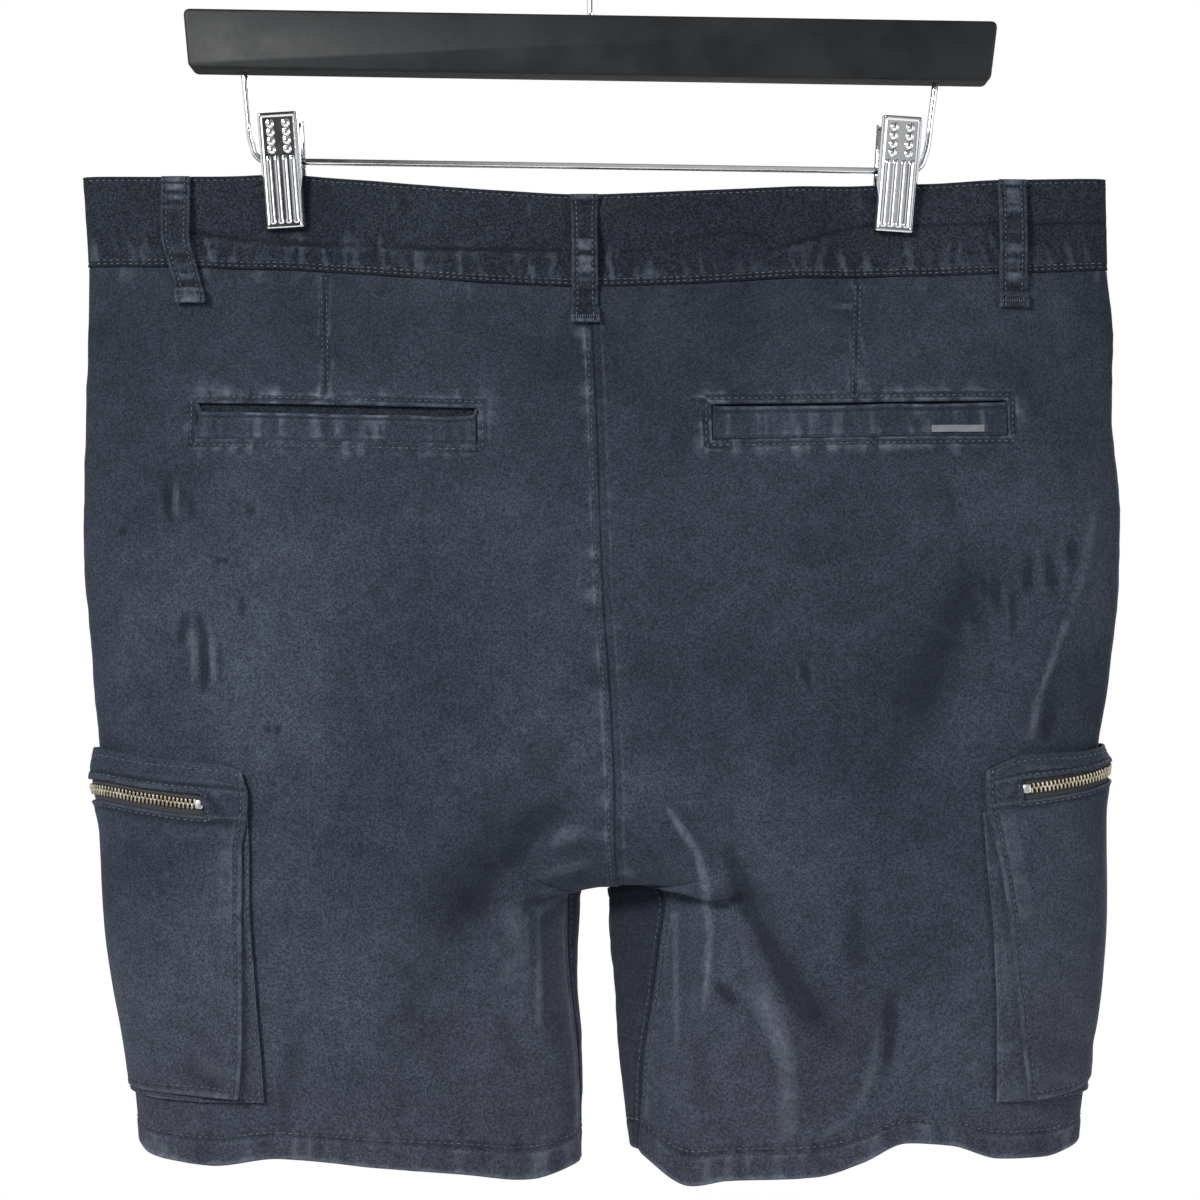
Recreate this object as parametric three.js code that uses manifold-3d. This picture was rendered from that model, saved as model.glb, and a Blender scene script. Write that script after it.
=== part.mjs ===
// Cargo shorts that hang by the waistband from a clip hanger, with their back to the viewer.
// Millimetres, +Z up. The origin is the inner top of the hanger's hook. A "drop" is a depth below it.
// -Y is the back of the shorts and +Y the front. -X is the wearer's left, +X the wearer's right.
import * as THREE from 'three';
import { mergeVertices } from 'three/addons/utils/BufferGeometryUtils.js';
import Module from 'manifold-3d';

const wasm = await Module();
wasm.setup();

// Cloth thicknesses and the gap that parts two sewn pieces
const CLOTH = 1.3;
const BAND_CLOTH = 2.4;
const WELT_CLOTH = 2.0;
const THIN_CLOTH = 1.0;
const TAPE = 0.8;
const GAP = 0.3;
const SLACK = 0.25;
const HEM_DEPTH = 13;
const HEM_TURN = 1.0;

// Levels of the garment, as drops
const SEAM_LEVEL = 205;
const HEM_LEVEL = 606;
const CROTCH_LEVEL = 470;
const SEAT_LEVEL = 420;
const PANEL_HEIGHT = HEM_LEVEL - SEAM_LEVEL;

// How full the sections are: the cosine of a quarter turn to this power, and the centre's share of the depth
const ROUNDNESS = 0.82;
const BACK_CENTRE_SHARE = 0.88;
const FRONT_CENTRE_SHARE = 0.92;

// Share of a row over which its inner end is drawn to the seam that it is sewn into
const SEAM_REACH = 0.32;
const TURN_REACH = 0.045;

// Waistband height follows this table: top edge and seam, sagging between the clips
const WAIST = table(['x', 'top', 'seam'], [
  [-234, 158.6, 200.2],
  [-190, 159.5, 201.0],
  [-144, 157.4, 201.4],
  [-90, 162.6, 205.6],
  [-40, 166.0, 208.7],
  [-5, 167.6, 210.0],
  [45, 166.0, 208.7],
  [95, 164.0, 206.0],
  [140, 162.0, 204.6],
  [190, 160.9, 204.0],
  [235, 159.5, 201.6],
]);

// Level sections: left and right edges, and how far the back and the front stand from the middle plane
const SECTIONS = table(['drop', 'left', 'right', 'back', 'front'], [
  [158, -233.9, 234.4, -9.0, 8.0],
  [200, -231.3, 235.2, -9.5, 8.5],
  [235, -231.6, 238.1, -14.0, 12.5],
  [270, -232.1, 237.1, -19.5, 17.5],
  [315, -233.0, 240.8, -25.5, 22.5],
  [345, -232.1, 239.9, -28.0, 25.0],
  [380, -229.3, 236.2, -30.5, 27.5],
  [417, -226.6, 231.6, -32.5, 29.5],
  [454, -220.0, 228.5, -34.0, 31.0],
  [490, -218.0, 228.5, -34.0, 32.0],
  [527, -215.0, 228.0, -33.0, 31.0],
  [564, -211.0, 225.5, -31.5, 30.0],
  [606, -208.0, 222.0, -30.0, 28.0],
]);

// Sideways run of the centre seams above the crotch
const CENTRE = table(['drop', 'x'], [
  [205, -1.8],
  [262, 1.2],
  [350, 4.4],
  [413, 8.6],
  [470, 10.4],
]);

// The centre seams turn under the body to the crotch point
const CROTCH_POINT = { x: 11, y: 13, drop: 482 };
const CROTCH_BACK = table(['x', 'y', 'drop'], [
  [9.6, -27.5, 461],
  [10.6, -19.5, 475.5],
  [11, -8, 482.6],
  [11, 3, 484],
]);
const CROTCH_FRONT = table(['x', 'y', 'drop'], [
  [9.4, 27.4, 450],
  [10.2, 25, 466],
  [10.8, 19.5, 477.5],
]);

// Inseams below the crotch, and how far each leg's back and front lean over beside them, as sideways
// run for each depth
const LEG = {
  left: table(['drop', 'x', 'y', 'back', 'front'], [
    [476, -6, 11, 0, 0],
    [484, -9, 10, 0.2, 0.4],
    [492, -12.5, 9, 0.4, 1.6],
    [510, -12.5, 6, 0.4, 1.4],
    [530, -11, 4, 0.3, 1.0],
    [565, -7.5, 2, 0.15, 0.5],
    [606, -6, 0, 0.1, 0.1],
  ]),
  right: table(['drop', 'x', 'y', 'back', 'front'], [
    [476, 20, 10, 0, 0],
    [484, 27, 8, -0.9, -1.2],
    [492, 33, 6, -1.9, -4.6],
    [510, 30.5, 3, -2.0, -3.9],
    [530, 28, 1, -1.6, -3.1],
    [565, 23, -2, -0.95, -1.9],
    [606, 21.2, -4, -0.4, -0.8],
  ]),
};

// Hem wave along each leg, back and front
const HEM = {
  left: table(['x', 'back', 'front'], [
    [-209, 592, 592],
    [-190, 603, 601],
    [-172, 606, 605],
    [-140, 601.5, 606],
    [-100, 605, 602],
    [-60, 609, 604],
    [-28, 613, 610],
    [-6, 609, 609],
  ]),
  right: table(['x', 'back', 'front'], [
    [21, 604, 604],
    [43, 616, 608],
    [60, 612.5, 604],
    [100, 609.5, 601],
    [120, 603, 605],
    [140, 594.5, 603],
    [160, 596, 598],
    [182, 602.5, 600],
    [203, 603.5, 602],
    [223, 589, 589],
  ]),
};

// Largest folds: from one end to the other, half width, and height out of the cloth (negative for a trough)
const FOLD_COLUMNS = ['x0', 'drop0', 'x1', 'drop1', 'width', 'height'];
const FOLDS = {
  left: {
    back: table(FOLD_COLUMNS, [
      [-16, 440, -74, 540, 15, -5],
      [-31, 470, -42, 500, 11, 3.5],
      [-42, 500, -22, 560, 11, 3],
      [-70, 545, -58, 600, 14, -3],
      [-150, 300, -118, 400, 26, 2.5],
      [-196, 310, -170, 400, 12, -2],
    ]),
    front: table(FOLD_COLUMNS, [
      [-16, 430, -90, 520, 17, -5],
      [-40, 470, -60, 560, 13, 4],
      [-150, 300, -110, 410, 24, -3],
      [-110, 520, -96, 600, 15, -3],
    ]),
  },
  right: {
    back: table(FOLD_COLUMNS, [
      [63, 445, 80, 545, 12, -5.5],
      [50, 480, 54, 540, 8, 3.5],
      [70, 478, 94, 590, 12, 3],
      [196, 330, 132, 450, 26, -4],
      [224, 325, 198, 420, 11, 3],
      [42, 272, 124, 224, 10, 2.5],
      [136, 520, 116, 592, 10, -3.5],
    ]),
    front: table(FOLD_COLUMNS, [
      [26, 430, 96, 515, 17, -5],
      [52, 470, 74, 575, 13, 4],
      [160, 310, 120, 420, 24, -3],
      [150, 530, 128, 600, 14, -3],
    ]),
  },
};

// Hanger
const HANGER_TILT = THREE.MathUtils.degToRad(0.9);
const BAR = { top: 85, height: 27.6, width: 373, slant: 3, thickness: 13, corner: 3, swell: 0.3, bevel: 1.5 };
const HOOK = { wire: 3.4, radius: 21.7, throat: 9, turnEnd: 112, crookStart: -62, tipAngle: 205 };
const CLIP_WIRE = { wire: 3, topHalf: 159, bottomHalf: 154.5, bottom: 153.2, bend: 7, straight: 40 };
const CLIP = { width: 17.5, height: 51.6, sheet: 1, side: 3, jaw: 3.5, splay: 5.5 };
const SPRING = { width: 9, metal: 0.8, fall: 2, foot: 0.62 };
const CLIPS = {
  left: { x: -143.9, top: 131, tilt: THREE.MathUtils.degToRad(-3.6) },
  right: { x: 140.8, top: 132.8, tilt: THREE.MathUtils.degToRad(4.0) },
};
const GRIPS = Object.values(CLIPS).map(({ x, tilt }) => x - 0.75 * CLIP.height * Math.sin(tilt));
const PINCH = { flat: 15, reach: 34, half: 1.7, level: 188, fade: 80 };

// Belt loops: place of the top and of the foot, both sideways, on the back or on the front
const LOOP = { width: 12.4, cloth: 1.8, bow: 2.6, free: 0.86, inset: 0.5, ease: 6, rows: 9 };
const LOOPS = {
  belt_loop_back_left: { side: 'left', face: 'back', top: -190, foot: -184, below: 14.5 },
  belt_loop_back_centre: { side: 'left', face: 'back', top: -4.2, foot: -3.6, below: 16 },
  belt_loop_back_right: { side: 'right', face: 'back', top: 190.5, foot: 191, below: 14.5 },
  belt_loop_front_left: { side: 'left', face: 'front', top: -110, foot: -110, below: 14.5 },
  belt_loop_front_right: { side: 'right', face: 'front', top: 112, foot: 112, below: 14.5 },
};

// Back pockets: window in the panel, and the open slit above the welt
const WELT_POCKETS = {
  left: { x0: -179, x1: -52.5, top0: 263.5, top1: 266, height: 16.5, slit: 3.4 },
  right: { x0: 53.5, x1: 187, top0: 264.5, top1: 262.5, height: 16, slit: 0.5 },
};
const WINDOW_REACH = 6;
const WELT_SET = 0.15;
const FACING_MARGIN = 7;
const TAG = { x0: 152, x1: 176, height: 3.2, rise: 1.6, cloth: 0.6 };

// Cargo pockets wrap round the outseam. Distances run along the cloth from the pocket's middle line.
const POCKET = { top: 421, faceDepth: 153, baseDepth: 161, gussetStart: 22, edgeTuck: 2 };
const POCKET_SHIFT = { left: [-5, -9], right: [5, 10] };
const POCKET_WIDTHS = table(['down', 'base', 'face'], [
  [0, 74, 72],
  [22, 74, 71],
  [90, 71, 64],
  [161, 66, 53],
]);
const POCKET_LIFT = table(['down', 'middle', 'edge'], [
  [0, 2.4, 2.1],
  [9, 5.8, 2.8],
  [18, 8.0, 3.1],
  [24, 7.6, 3.3],
  [40, 6.2, 4.0],
  [90, 7.2, 6.0],
  [130, 8.8, 7.8],
  [153, 8.2, 7.6],
  [170, 8.2, 7.6],
]);
const POCKET_EDGE_REACH = 28;

// Zip of a cargo pocket
const ZIP = { half: 57, down: 18, window: 10, tapeHalf: 8.5, chain: 4.7, rib: 1.2, overrun: 5, step: 0.1 };
const SLIDER = { along: 49, length: 9.5, width: 7.6, nose: 5, plate: 2 };
const BRIDGE = { half: 3.4, bar: 1.1, root: 0.4, shoulder: 1 };
const PULL = { ring: 1.65, wire: 0.85, length: 19, width: 6, plate: 1.2, sink: 0.1 };

// Front closing
const OVERLAP = { start: -26, level: -4, end: 22 };
const LAP = { x0: -36, x1: 5, depth: 168, corner: 24, narrowing: 0.72, start: 0.5 };
const BUTTON = { x: 11, radius: 8.5, height: 3.2, rim: 1.6, edge: 0.8, below: 20 };

// Materials: colour, roughness and metalness as they look
const TWILL = [0x3a404c, 0.92, 0];
const BAND_TWILL = [0x2f343f, 0.92, 0];
const HEM_TWILL = [0x40424e, 0.92, 0];
const ZIP_CLOTH = [0x22252c, 0.9, 0];
const ZIP_METAL = [0x8d8778, 0.42, 0.9];
const CHROME = [0xc9ccce, 0.16, 1];
const BLACK_WOOD = [0x1d1f21, 0.45, 0];
const BUTTON_RESIN = [0x23262e, 0.4, 0];
const TAG_CLOTH = [0x8a8d93, 0.85, 0];

// Small sums
function table(columns, rows) {
  return rows.map((row) => Object.fromEntries(columns.map((name, i) => [name, row[i]])));
}

function lerp(a, b, k) {
  return a + (b - a) * k;
}

function smooth(k) {
  const held = Math.min(1, Math.max(0, k));
  return held * held * (3 - 2 * held);
}

function evenSlope(a, b) {
  return a * b <= 0 ? 0 : (2 * a * b) / (a + b);
}

// A smooth line through one column of a table, that never swings past its rows
function follow(rows, key, column, at) {
  const last = rows.length - 1;
  if (at <= rows[0][key]) return rows[0][column];
  if (at >= rows[last][key]) return rows[last][column];
  let i = 0;
  while (rows[i + 1][key] < at) i += 1;
  const slopeOf = (n) => (rows[n + 1][column] - rows[n][column]) / (rows[n + 1][key] - rows[n][key]);
  const slope = slopeOf(i);
  const before = i > 0 ? evenSlope(slopeOf(i - 1), slope) : slope;
  const after = i + 2 <= last ? evenSlope(slope, slopeOf(i + 1)) : slope;
  const span = rows[i + 1][key] - rows[i][key];
  const k = (at - rows[i][key]) / span;
  const start = (1 + 2 * k) * (1 - k) ** 2 * rows[i][column] + k * (1 - k) ** 2 * span * before;
  return start + k * k * (3 - 2 * k) * rows[i + 1][column] + k * k * (k - 1) * span * after;
}

// A path in space: its rows get the length along them
function measured(points) {
  let along = 0;
  return points.map((point, i) => {
    if (i > 0) {
      const previous = points[i - 1];
      along += Math.hypot(point.x - previous.x, point.y - previous.y, point.drop - previous.drop);
    }
    return { ...point, along };
  });
}

function onPath(path, along) {
  return {
    x: follow(path, 'along', 'x', along),
    y: follow(path, 'along', 'y', along),
    drop: follow(path, 'along', 'drop', along),
  };
}

// Seams
const CROTCH_ROW = (CROTCH_LEVEL - SEAM_LEVEL) / PANEL_HEIGHT;
const SEAT_ROW = (SEAT_LEVEL - SEAM_LEVEL) / PANEL_HEIGHT;

function centreSeam(face, bend) {
  const share = face === 'back' ? BACK_CENTRE_SHARE : FRONT_CENTRE_SHARE;
  const point = (level, drop) => ({
    x: follow(CENTRE, 'drop', 'x', level),
    y: share * follow(SECTIONS, 'drop', face, level),
    drop,
  });
  const top = point(SEAM_LEVEL, follow(WAIST, 'x', 'seam', CENTRE[0].x));
  const rows = [235, 270, 310, 350, 385, SEAT_LEVEL, 440].map((drop) => point(drop, drop));
  return measured([top, ...rows, ...bend, CROTCH_POINT]);
}

const CENTRE_SEAM = {
  back: centreSeam('back', CROTCH_BACK),
  front: centreSeam('front', CROTCH_FRONT),
};

function seatTimetable(path) {
  const seat = path.find((row) => row.drop === SEAT_LEVEL);
  return table(['row', 'along'], [[0, 0], [SEAT_ROW, seat.along], [CROTCH_ROW, path.at(-1).along]]);
}

const SEAT_TIMES = { back: seatTimetable(CENTRE_SEAM.back), front: seatTimetable(CENTRE_SEAM.front) };

function inseam(side) {
  const rows = LEG[side].slice(1).map(({ x, y, drop }) => ({ x, y, drop }));
  const last = rows.at(-1);
  last.drop = follow(HEM[side], 'x', 'back', last.x);
  return measured([CROTCH_POINT, ...rows]);
}

const INSEAM = { left: inseam('left'), right: inseam('right') };

function innerEnd(side, face, row) {
  if (row <= CROTCH_ROW) {
    return onPath(CENTRE_SEAM[face], follow(SEAT_TIMES[face], 'row', 'along', row));
  }
  const path = INSEAM[side];
  return onPath(path, (path.at(-1).along * (row - CROTCH_ROW)) / (1 - CROTCH_ROW));
}

// Sections of the cloth. t runs from the inner end, 0, to the outseam, 1.
function torsoSection(inner, outer, depth, share, t) {
  const middle = (inner + outer) / 2;
  if (t < 0.5) {
    return { x: lerp(inner, middle, t / 0.5), y: depth * lerp(share, 1, smooth(t / 0.5)) };
  }
  const angle = (t - 0.5) * Math.PI;
  const full = Math.max(0, Math.cos(angle)) ** ROUNDNESS;
  return { x: middle + (outer - middle) * Math.sin(angle), y: depth * full };
}

function legSection(side, face, level, outer, depth, t) {
  const innerX = follow(LEG[side], 'drop', 'x', level);
  const innerY = follow(LEG[side], 'drop', 'y', level);
  const lean = follow(LEG[side], 'drop', face, level);
  const angle = t * Math.PI;
  const across = (1 - Math.cos(angle)) / 2;
  const chord = innerY * (1 - across);
  const y = chord + (depth - chord) * Math.max(0, Math.sin(angle)) ** ROUNDNESS;
  const fall = t < 0.5 ? (1 - 2 * t) ** 2 : 0;
  return { x: lerp(innerX, outer, across) + lean * (y - chord) * fall, y };
}

function pinched(x, y, drop) {
  const nearest = Math.min(...GRIPS.map((grip) => Math.abs(x - grip)));
  const hold = 1 - smooth((nearest - PINCH.flat) / PINCH.reach);
  const fade = 1 - smooth((drop - PINCH.level) / PINCH.fade);
  return lerp(y, Math.sign(y) * Math.min(PINCH.half, Math.abs(y)), hold * fade);
}

// One point of the plain cloth. Rows run from -1 at the waist top and 0 at the waist seam to 1 at the hem.
// The seat hangs over the turn into each leg beside the crotch: how far, and where across the back
const OVERHANG = {
  left: { fall: 11, from: 0.02, full: 0.13, end: 0.34 },
  right: { fall: 12, from: 0.02, full: 0.17, end: 0.36 },
};
const OVERHANG_REACH = 0.035;

function overhang(side, face, row, t) {
  if (face === 'front') {
    return 0;
  }
  const { fall, from, full, end } = OVERHANG[side];
  const across = smooth((t - from) / (full - from)) * (1 - smooth((t - full) / (end - full)));
  return fall * across * Math.exp(-(((row - CROTCH_ROW) / OVERHANG_REACH) ** 2));
}

function plainPoint(side, face, row, t) {
  const below = Math.max(0, row);
  const level = row < 0 ? lerp(SEAM_LEVEL, WAIST[0].top, -row) : lerp(SEAM_LEVEL, HEM_LEVEL, row);
  const outer = follow(SECTIONS, 'drop', side, level);
  const depth = follow(SECTIONS, 'drop', face, level);
  const end = innerEnd(side, face, below);
  const share = face === 'back' ? BACK_CENTRE_SHARE : FRONT_CENTRE_SHARE;
  const torso = torsoSection(end.x, outer, depth, share, t);
  const leg = legSection(side, face, level, outer, depth, t);
  const turn = smooth((below - CROTCH_ROW) / (2 * TURN_REACH) + 0.5);
  const x = lerp(torso.x, leg.x, turn);
  const y = lerp(torso.y, leg.y, turn);
  if (row < 0) {
    const drop = lerp(follow(WAIST, 'x', 'seam', x), follow(WAIST, 'x', 'top', x), -row);
    return new THREE.Vector3(x, pinched(x, y, drop), -drop);
  }
  const sag = (follow(WAIST, 'x', 'seam', x) - SEAM_LEVEL) * (1 - smooth(below / 0.3));
  const wave = (follow(HEM[side], 'x', face, x) - HEM_LEVEL) * smooth((below - 0.9) / 0.1);
  const drop = level + sag + wave + overhang(side, face, below, t);
  return new THREE.Vector3(x, pinched(x, y, drop), -drop);
}

// A row of the cloth, with its inner end drawn to the seam, measured along its length
const STEPS = 72;
const rowCache = new Map();

function measuredRow(side, face, row) {
  const below = Math.max(0, row);
  const end = innerEnd(side, face, below);
  const start = plainPoint(side, face, row, 0);
  const pull = row < 0 ? new THREE.Vector3() : new THREE.Vector3(end.x, end.y, -end.drop).sub(start);
  const pointAt = (t) => {
    const point = plainPoint(side, face, row, t);
    return point.addScaledVector(pull, 1 - smooth(t / SEAM_REACH));
  };
  const lengths = [0];
  let previous = pointAt(0);
  for (let i = 1; i <= STEPS; i += 1) {
    const point = pointAt(i / STEPS);
    lengths.push(lengths[i - 1] + point.distanceTo(previous));
    previous = point;
  }
  return { pointAt, lengths, length: lengths[STEPS] };
}

function clothRow(side, face, row) {
  const key = `${side} ${face} ${row.toFixed(6)}`;
  if (!rowCache.has(key)) rowCache.set(key, measuredRow(side, face, row));
  return rowCache.get(key);
}

function basePoint(side, face, row, u) {
  const { pointAt, lengths, length } = clothRow(side, face, row);
  const wanted = Math.min(1, Math.max(0, u)) * length;
  let i = 0;
  while (i < STEPS - 1 && lengths[i + 1] < wanted) i += 1;
  const k = (wanted - lengths[i]) / (lengths[i + 1] - lengths[i]);
  return pointAt((i + k) / STEPS);
}

// Outward directions
const PROBE = 0.004;

function ownNormal(side, face, row, u) {
  const u0 = Math.max(0, u - PROBE);
  const u1 = Math.min(1, u + PROBE);
  const band = row < 0;
  const row0 = Math.max(band ? -1 : 0, row - PROBE);
  const row1 = Math.min(band ? 0 : 1, row + PROBE);
  const across = basePoint(side, face, row, u1).sub(basePoint(side, face, row, u0));
  const down = basePoint(side, face, row1, u).sub(basePoint(side, face, row0, u));
  const sign = (side === 'right' ? 1 : -1) * (face === 'back' ? 1 : -1);
  return down.cross(across).normalize().multiplyScalar(sign);
}

const otherSide = { left: 'right', right: 'left' };
const otherFace = { back: 'front', front: 'back' };
const SEAM_ZONE = 0.03;

function seamNormal(side, face, row, u) {
  const own = ownNormal(side, face, row, u);
  if (u > 0.5) return own.add(ownNormal(side, otherFace[face], row, u)).normalize();
  if (row < CROTCH_ROW) return own.add(ownNormal(otherSide[side], face, row, u)).normalize();
  return own.add(ownNormal(side, otherFace[face], row, u)).normalize();
}

function clothNormal(side, face, row, u) {
  const own = ownNormal(side, face, row, u);
  const fromEnd = Math.min(u, 1 - u);
  if (fromEnd > SEAM_ZONE) return own;
  const shared = seamNormal(side, face, row, Math.round(u));
  return shared.lerp(own, smooth(fromEnd / SEAM_ZONE)).normalize();
}

function foldHeight(side, face, x, drop) {
  let height = 0;
  for (const fold of FOLDS[side][face]) {
    const runX = fold.x1 - fold.x0;
    const runDrop = fold.drop1 - fold.drop0;
    const k = ((x - fold.x0) * runX + (drop - fold.drop0) * runDrop) / (runX ** 2 + runDrop ** 2);
    const near = Math.min(1, Math.max(0, k));
    const off = Math.hypot(x - fold.x0 - near * runX, drop - fold.drop0 - near * runDrop);
    const taper = 0.35 + 0.65 * Math.sin(Math.PI * near);
    height += fold.height * taper * Math.exp(-((off / fold.width) ** 2));
  }
  return height;
}

// A point that stands off the cloth's middle surface by a lift. Folds fade out before the seams.
const FOLD_FADE = 0.06;

function clothPoint(side, face, row, u, lift) {
  const point = basePoint(side, face, row, u);
  const across = smooth(u / FOLD_FADE) * smooth((1 - u) / FOLD_FADE);
  const inside = across * smooth(row / FOLD_FADE) * smooth((1 - row) / FOLD_FADE);
  const fold = row > 0 ? foldHeight(side, face, point.x, -point.z) * inside : 0;
  return point.addScaledVector(clothNormal(side, face, row, u), fold + lift);
}

// The row and the share of it that lie at a place on the back or front, found by stepping towards it
const PLACE_TRIES = 9;
const PLACE_STEP = 0.01;

function placeOf(side, face, x, drop) {
  const place = { row: (drop - SEAM_LEVEL) / PANEL_HEIGHT, u: 0.5 };
  const seam = follow(WAIST, 'x', 'seam', x);
  if (drop < seam) place.row = (drop - seam) / (seam - follow(WAIST, 'x', 'top', x));
  for (let i = 0; i < PLACE_TRIES; i += 1) {
    const stepU = place.u < 0.5 ? PLACE_STEP : -PLACE_STEP;
    const stepRow = place.row < 0.5 ? PLACE_STEP : -PLACE_STEP;
    const here = basePoint(side, face, place.row, place.u);
    const acrossU = basePoint(side, face, place.row, place.u + stepU);
    const acrossRow = basePoint(side, face, place.row + stepRow, place.u);
    const slopeU = (acrossU.x - here.x) / stepU;
    const slopeRow = (here.z - acrossRow.z) / stepRow;
    place.u = Math.min(1, Math.max(0, place.u + (x - here.x) / slopeU));
    place.row += (drop + here.z) / slopeRow;
  }
  return place;
}

// Walls: a grid of outer points over a grid of inner points, closed round its four edges
function wall(outer, inner) {
  const rows = outer.length;
  const columns = outer[0].length;
  const positions = [...outer.flat(), ...inner.flat()].flatMap((p) => [p.x, p.y, p.z]);
  const indices = [];
  const quad = (a, b, c, d) => indices.push(a, b, c, a, c, d);
  const out = (i, j) => i * columns + j;
  const inn = (i, j) => rows * columns + i * columns + j;
  for (let i = 0; i + 1 < rows; i += 1) {
    for (let j = 0; j + 1 < columns; j += 1) {
      quad(out(i, j), out(i, j + 1), out(i + 1, j + 1), out(i + 1, j));
      quad(inn(i, j), inn(i + 1, j), inn(i + 1, j + 1), inn(i, j + 1));
    }
    quad(out(i, 0), out(i + 1, 0), inn(i + 1, 0), inn(i, 0));
    quad(out(i + 1, columns - 1), out(i, columns - 1), inn(i, columns - 1), inn(i + 1, columns - 1));
  }
  for (let j = 0; j + 1 < columns; j += 1) {
    quad(out(0, j + 1), out(0, j), inn(0, j), inn(0, j + 1));
    quad(out(rows - 1, j), out(rows - 1, j + 1), inn(rows - 1, j + 1), inn(rows - 1, j));
  }
  const geometry = new THREE.BufferGeometry();
  geometry.setAttribute('position', new THREE.Float32BufferAttribute(positions, 3));
  geometry.setIndex(indices);
  return facingOut(geometry);
}

function facingOut(geometry) {
  const place = geometry.getAttribute('position');
  const index = geometry.getIndex();
  const corner = (n) => new THREE.Vector3().fromBufferAttribute(place, index.getX(n));
  let volume = 0;
  for (let n = 0; n < index.count; n += 3) volume += corner(n).dot(corner(n + 1).cross(corner(n + 2)));
  if (volume < 0) {
    for (let n = 0; n < index.count; n += 3) {
      const kept = index.getX(n + 1);
      index.setX(n + 1, index.getX(n + 2));
      index.setX(n + 2, kept);
    }
  }
  geometry.computeVertexNormals();
  return geometry;
}

// A wall of even thickness on a grid of middle points
function sheet(grid, thickness) {
  const rows = grid.length;
  const columns = grid[0].length;
  const normalAt = (i, j) => {
    const down = grid[Math.min(rows - 1, i + 1)][j].clone().sub(grid[Math.max(0, i - 1)][j]);
    const across = grid[i][Math.min(columns - 1, j + 1)].clone().sub(grid[i][Math.max(0, j - 1)]);
    return down.cross(across).normalize();
  };
  const movedPoint = (point, i, j, by) => point.clone().addScaledVector(normalAt(i, j), by);
  const moved = (by) => grid.map((line, i) => line.map((point, j) => movedPoint(point, i, j, by)));
  return wall(moved(thickness / 2), moved(-thickness / 2));
}

function steps(from, to, count) {
  return Array.from({ length: count + 1 }, (_, i) => lerp(from, to, i / count));
}

// Cuts and joins
function solidOf(geometry) {
  const bare = geometry.clone();
  bare.deleteAttribute('normal');
  bare.deleteAttribute('uv');
  const merged = mergeVertices(bare, 1e-4);
  const vertProperties = new Float32Array(merged.getAttribute('position').array);
  const triVerts = new Uint32Array(merged.getIndex().array);
  return new wasm.Manifold(new wasm.Mesh({ numProp: 3, vertProperties, triVerts }));
}

function geometryOf(solid) {
  const { vertProperties, triVerts } = solid.getMesh();
  const geometry = new THREE.BufferGeometry();
  geometry.setAttribute('position', new THREE.Float32BufferAttribute(vertProperties, 3));
  geometry.setIndex(Array.from(triVerts));
  geometry.computeVertexNormals();
  return geometry;
}

const cut = (geometry, cutter) => geometryOf(solidOf(geometry).subtract(solidOf(cutter)));
const join = (...geometries) => geometryOf(geometries.map(solidOf).reduce((sum, solid) => sum.add(solid)));

function mesh(name, geometry, [color, roughness, metalness]) {
  const made = new THREE.Mesh(geometry, new THREE.MeshStandardMaterial({ color, roughness, metalness }));
  made.name = name;
  return made;
}

// Panels, as grids of middle points and their outward directions
const PANEL_ROWS = [
  ...steps(GAP / 2 / PANEL_HEIGHT, SEAT_ROW, 9),
  ...steps(SEAT_ROW, CROTCH_ROW, 5).slice(1),
  ...steps(CROTCH_ROW, CROTCH_ROW + 0.06, 3).slice(1),
  ...steps(CROTCH_ROW + 0.06, 1 - HEM_DEPTH / PANEL_HEIGHT, 7).slice(1),
  1 - (0.9 * HEM_DEPTH) / PANEL_HEIGHT,
  1,
];
const PANEL_COLUMNS = 16;
const BAND_ROWS = [-1, -0.5, -GAP / 2 / (SEAM_LEVEL - WAIST[0].top)];
const BAND_COLUMNS = 18;

// Panels draw apart a little more where four of them meet at the crotch
const CORNER_GAP = 0.3;
const CORNER_REACH = 0.015;

function spread(count) {
  return steps(0, Math.PI, count).map((angle) => (1 - Math.cos(angle)) / 2);
}

function facets(rows, columns, pointAt) {
  const outer = rows.map((row) => columns.map((column) => pointAt(row, column, 0.5)));
  const inner = rows.map((row) => columns.map((column) => pointAt(row, column, -0.5)));
  return { rows, columns, outer, inner };
}

function cellOf(values, at) {
  let i = 0;
  while (i < values.length - 2 && values[i + 1] < at) i += 1;
  return { i, k: Math.min(1, Math.max(0, (at - values[i]) / (values[i + 1] - values[i]))) };
}

function onFacets({ rows, columns, outer, inner }, row, column, lift) {
  const down = cellOf(rows, row);
  const across = cellOf(columns, column);
  const mixed = (grid) => {
    const upper = grid[down.i][across.i].clone().lerp(grid[down.i][across.i + 1], across.k);
    const lower = grid[down.i + 1][across.i].clone().lerp(grid[down.i + 1][across.i + 1], across.k);
    return upper.lerp(lower, down.k);
  };
  const inside = mixed(inner);
  const outside = mixed(outer);
  const middle = inside.clone().lerp(outside, 0.5);
  return middle.addScaledVector(outside.sub(inside).normalize(), lift);
}

function panelFacets(side, face) {
  return facets(PANEL_ROWS, spread(PANEL_COLUMNS), (row, column, share) => {
    const corner = CORNER_GAP * Math.exp(-(((row - CROTCH_ROW) / CORNER_REACH) ** 2));
    const { length } = clothRow(side, face, row);
    const u = lerp((GAP / 2 + corner) / length, 1 - GAP / 2 / length, column);
    return clothPoint(side, face, row, u, share * CLOTH);
  });
}

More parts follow.
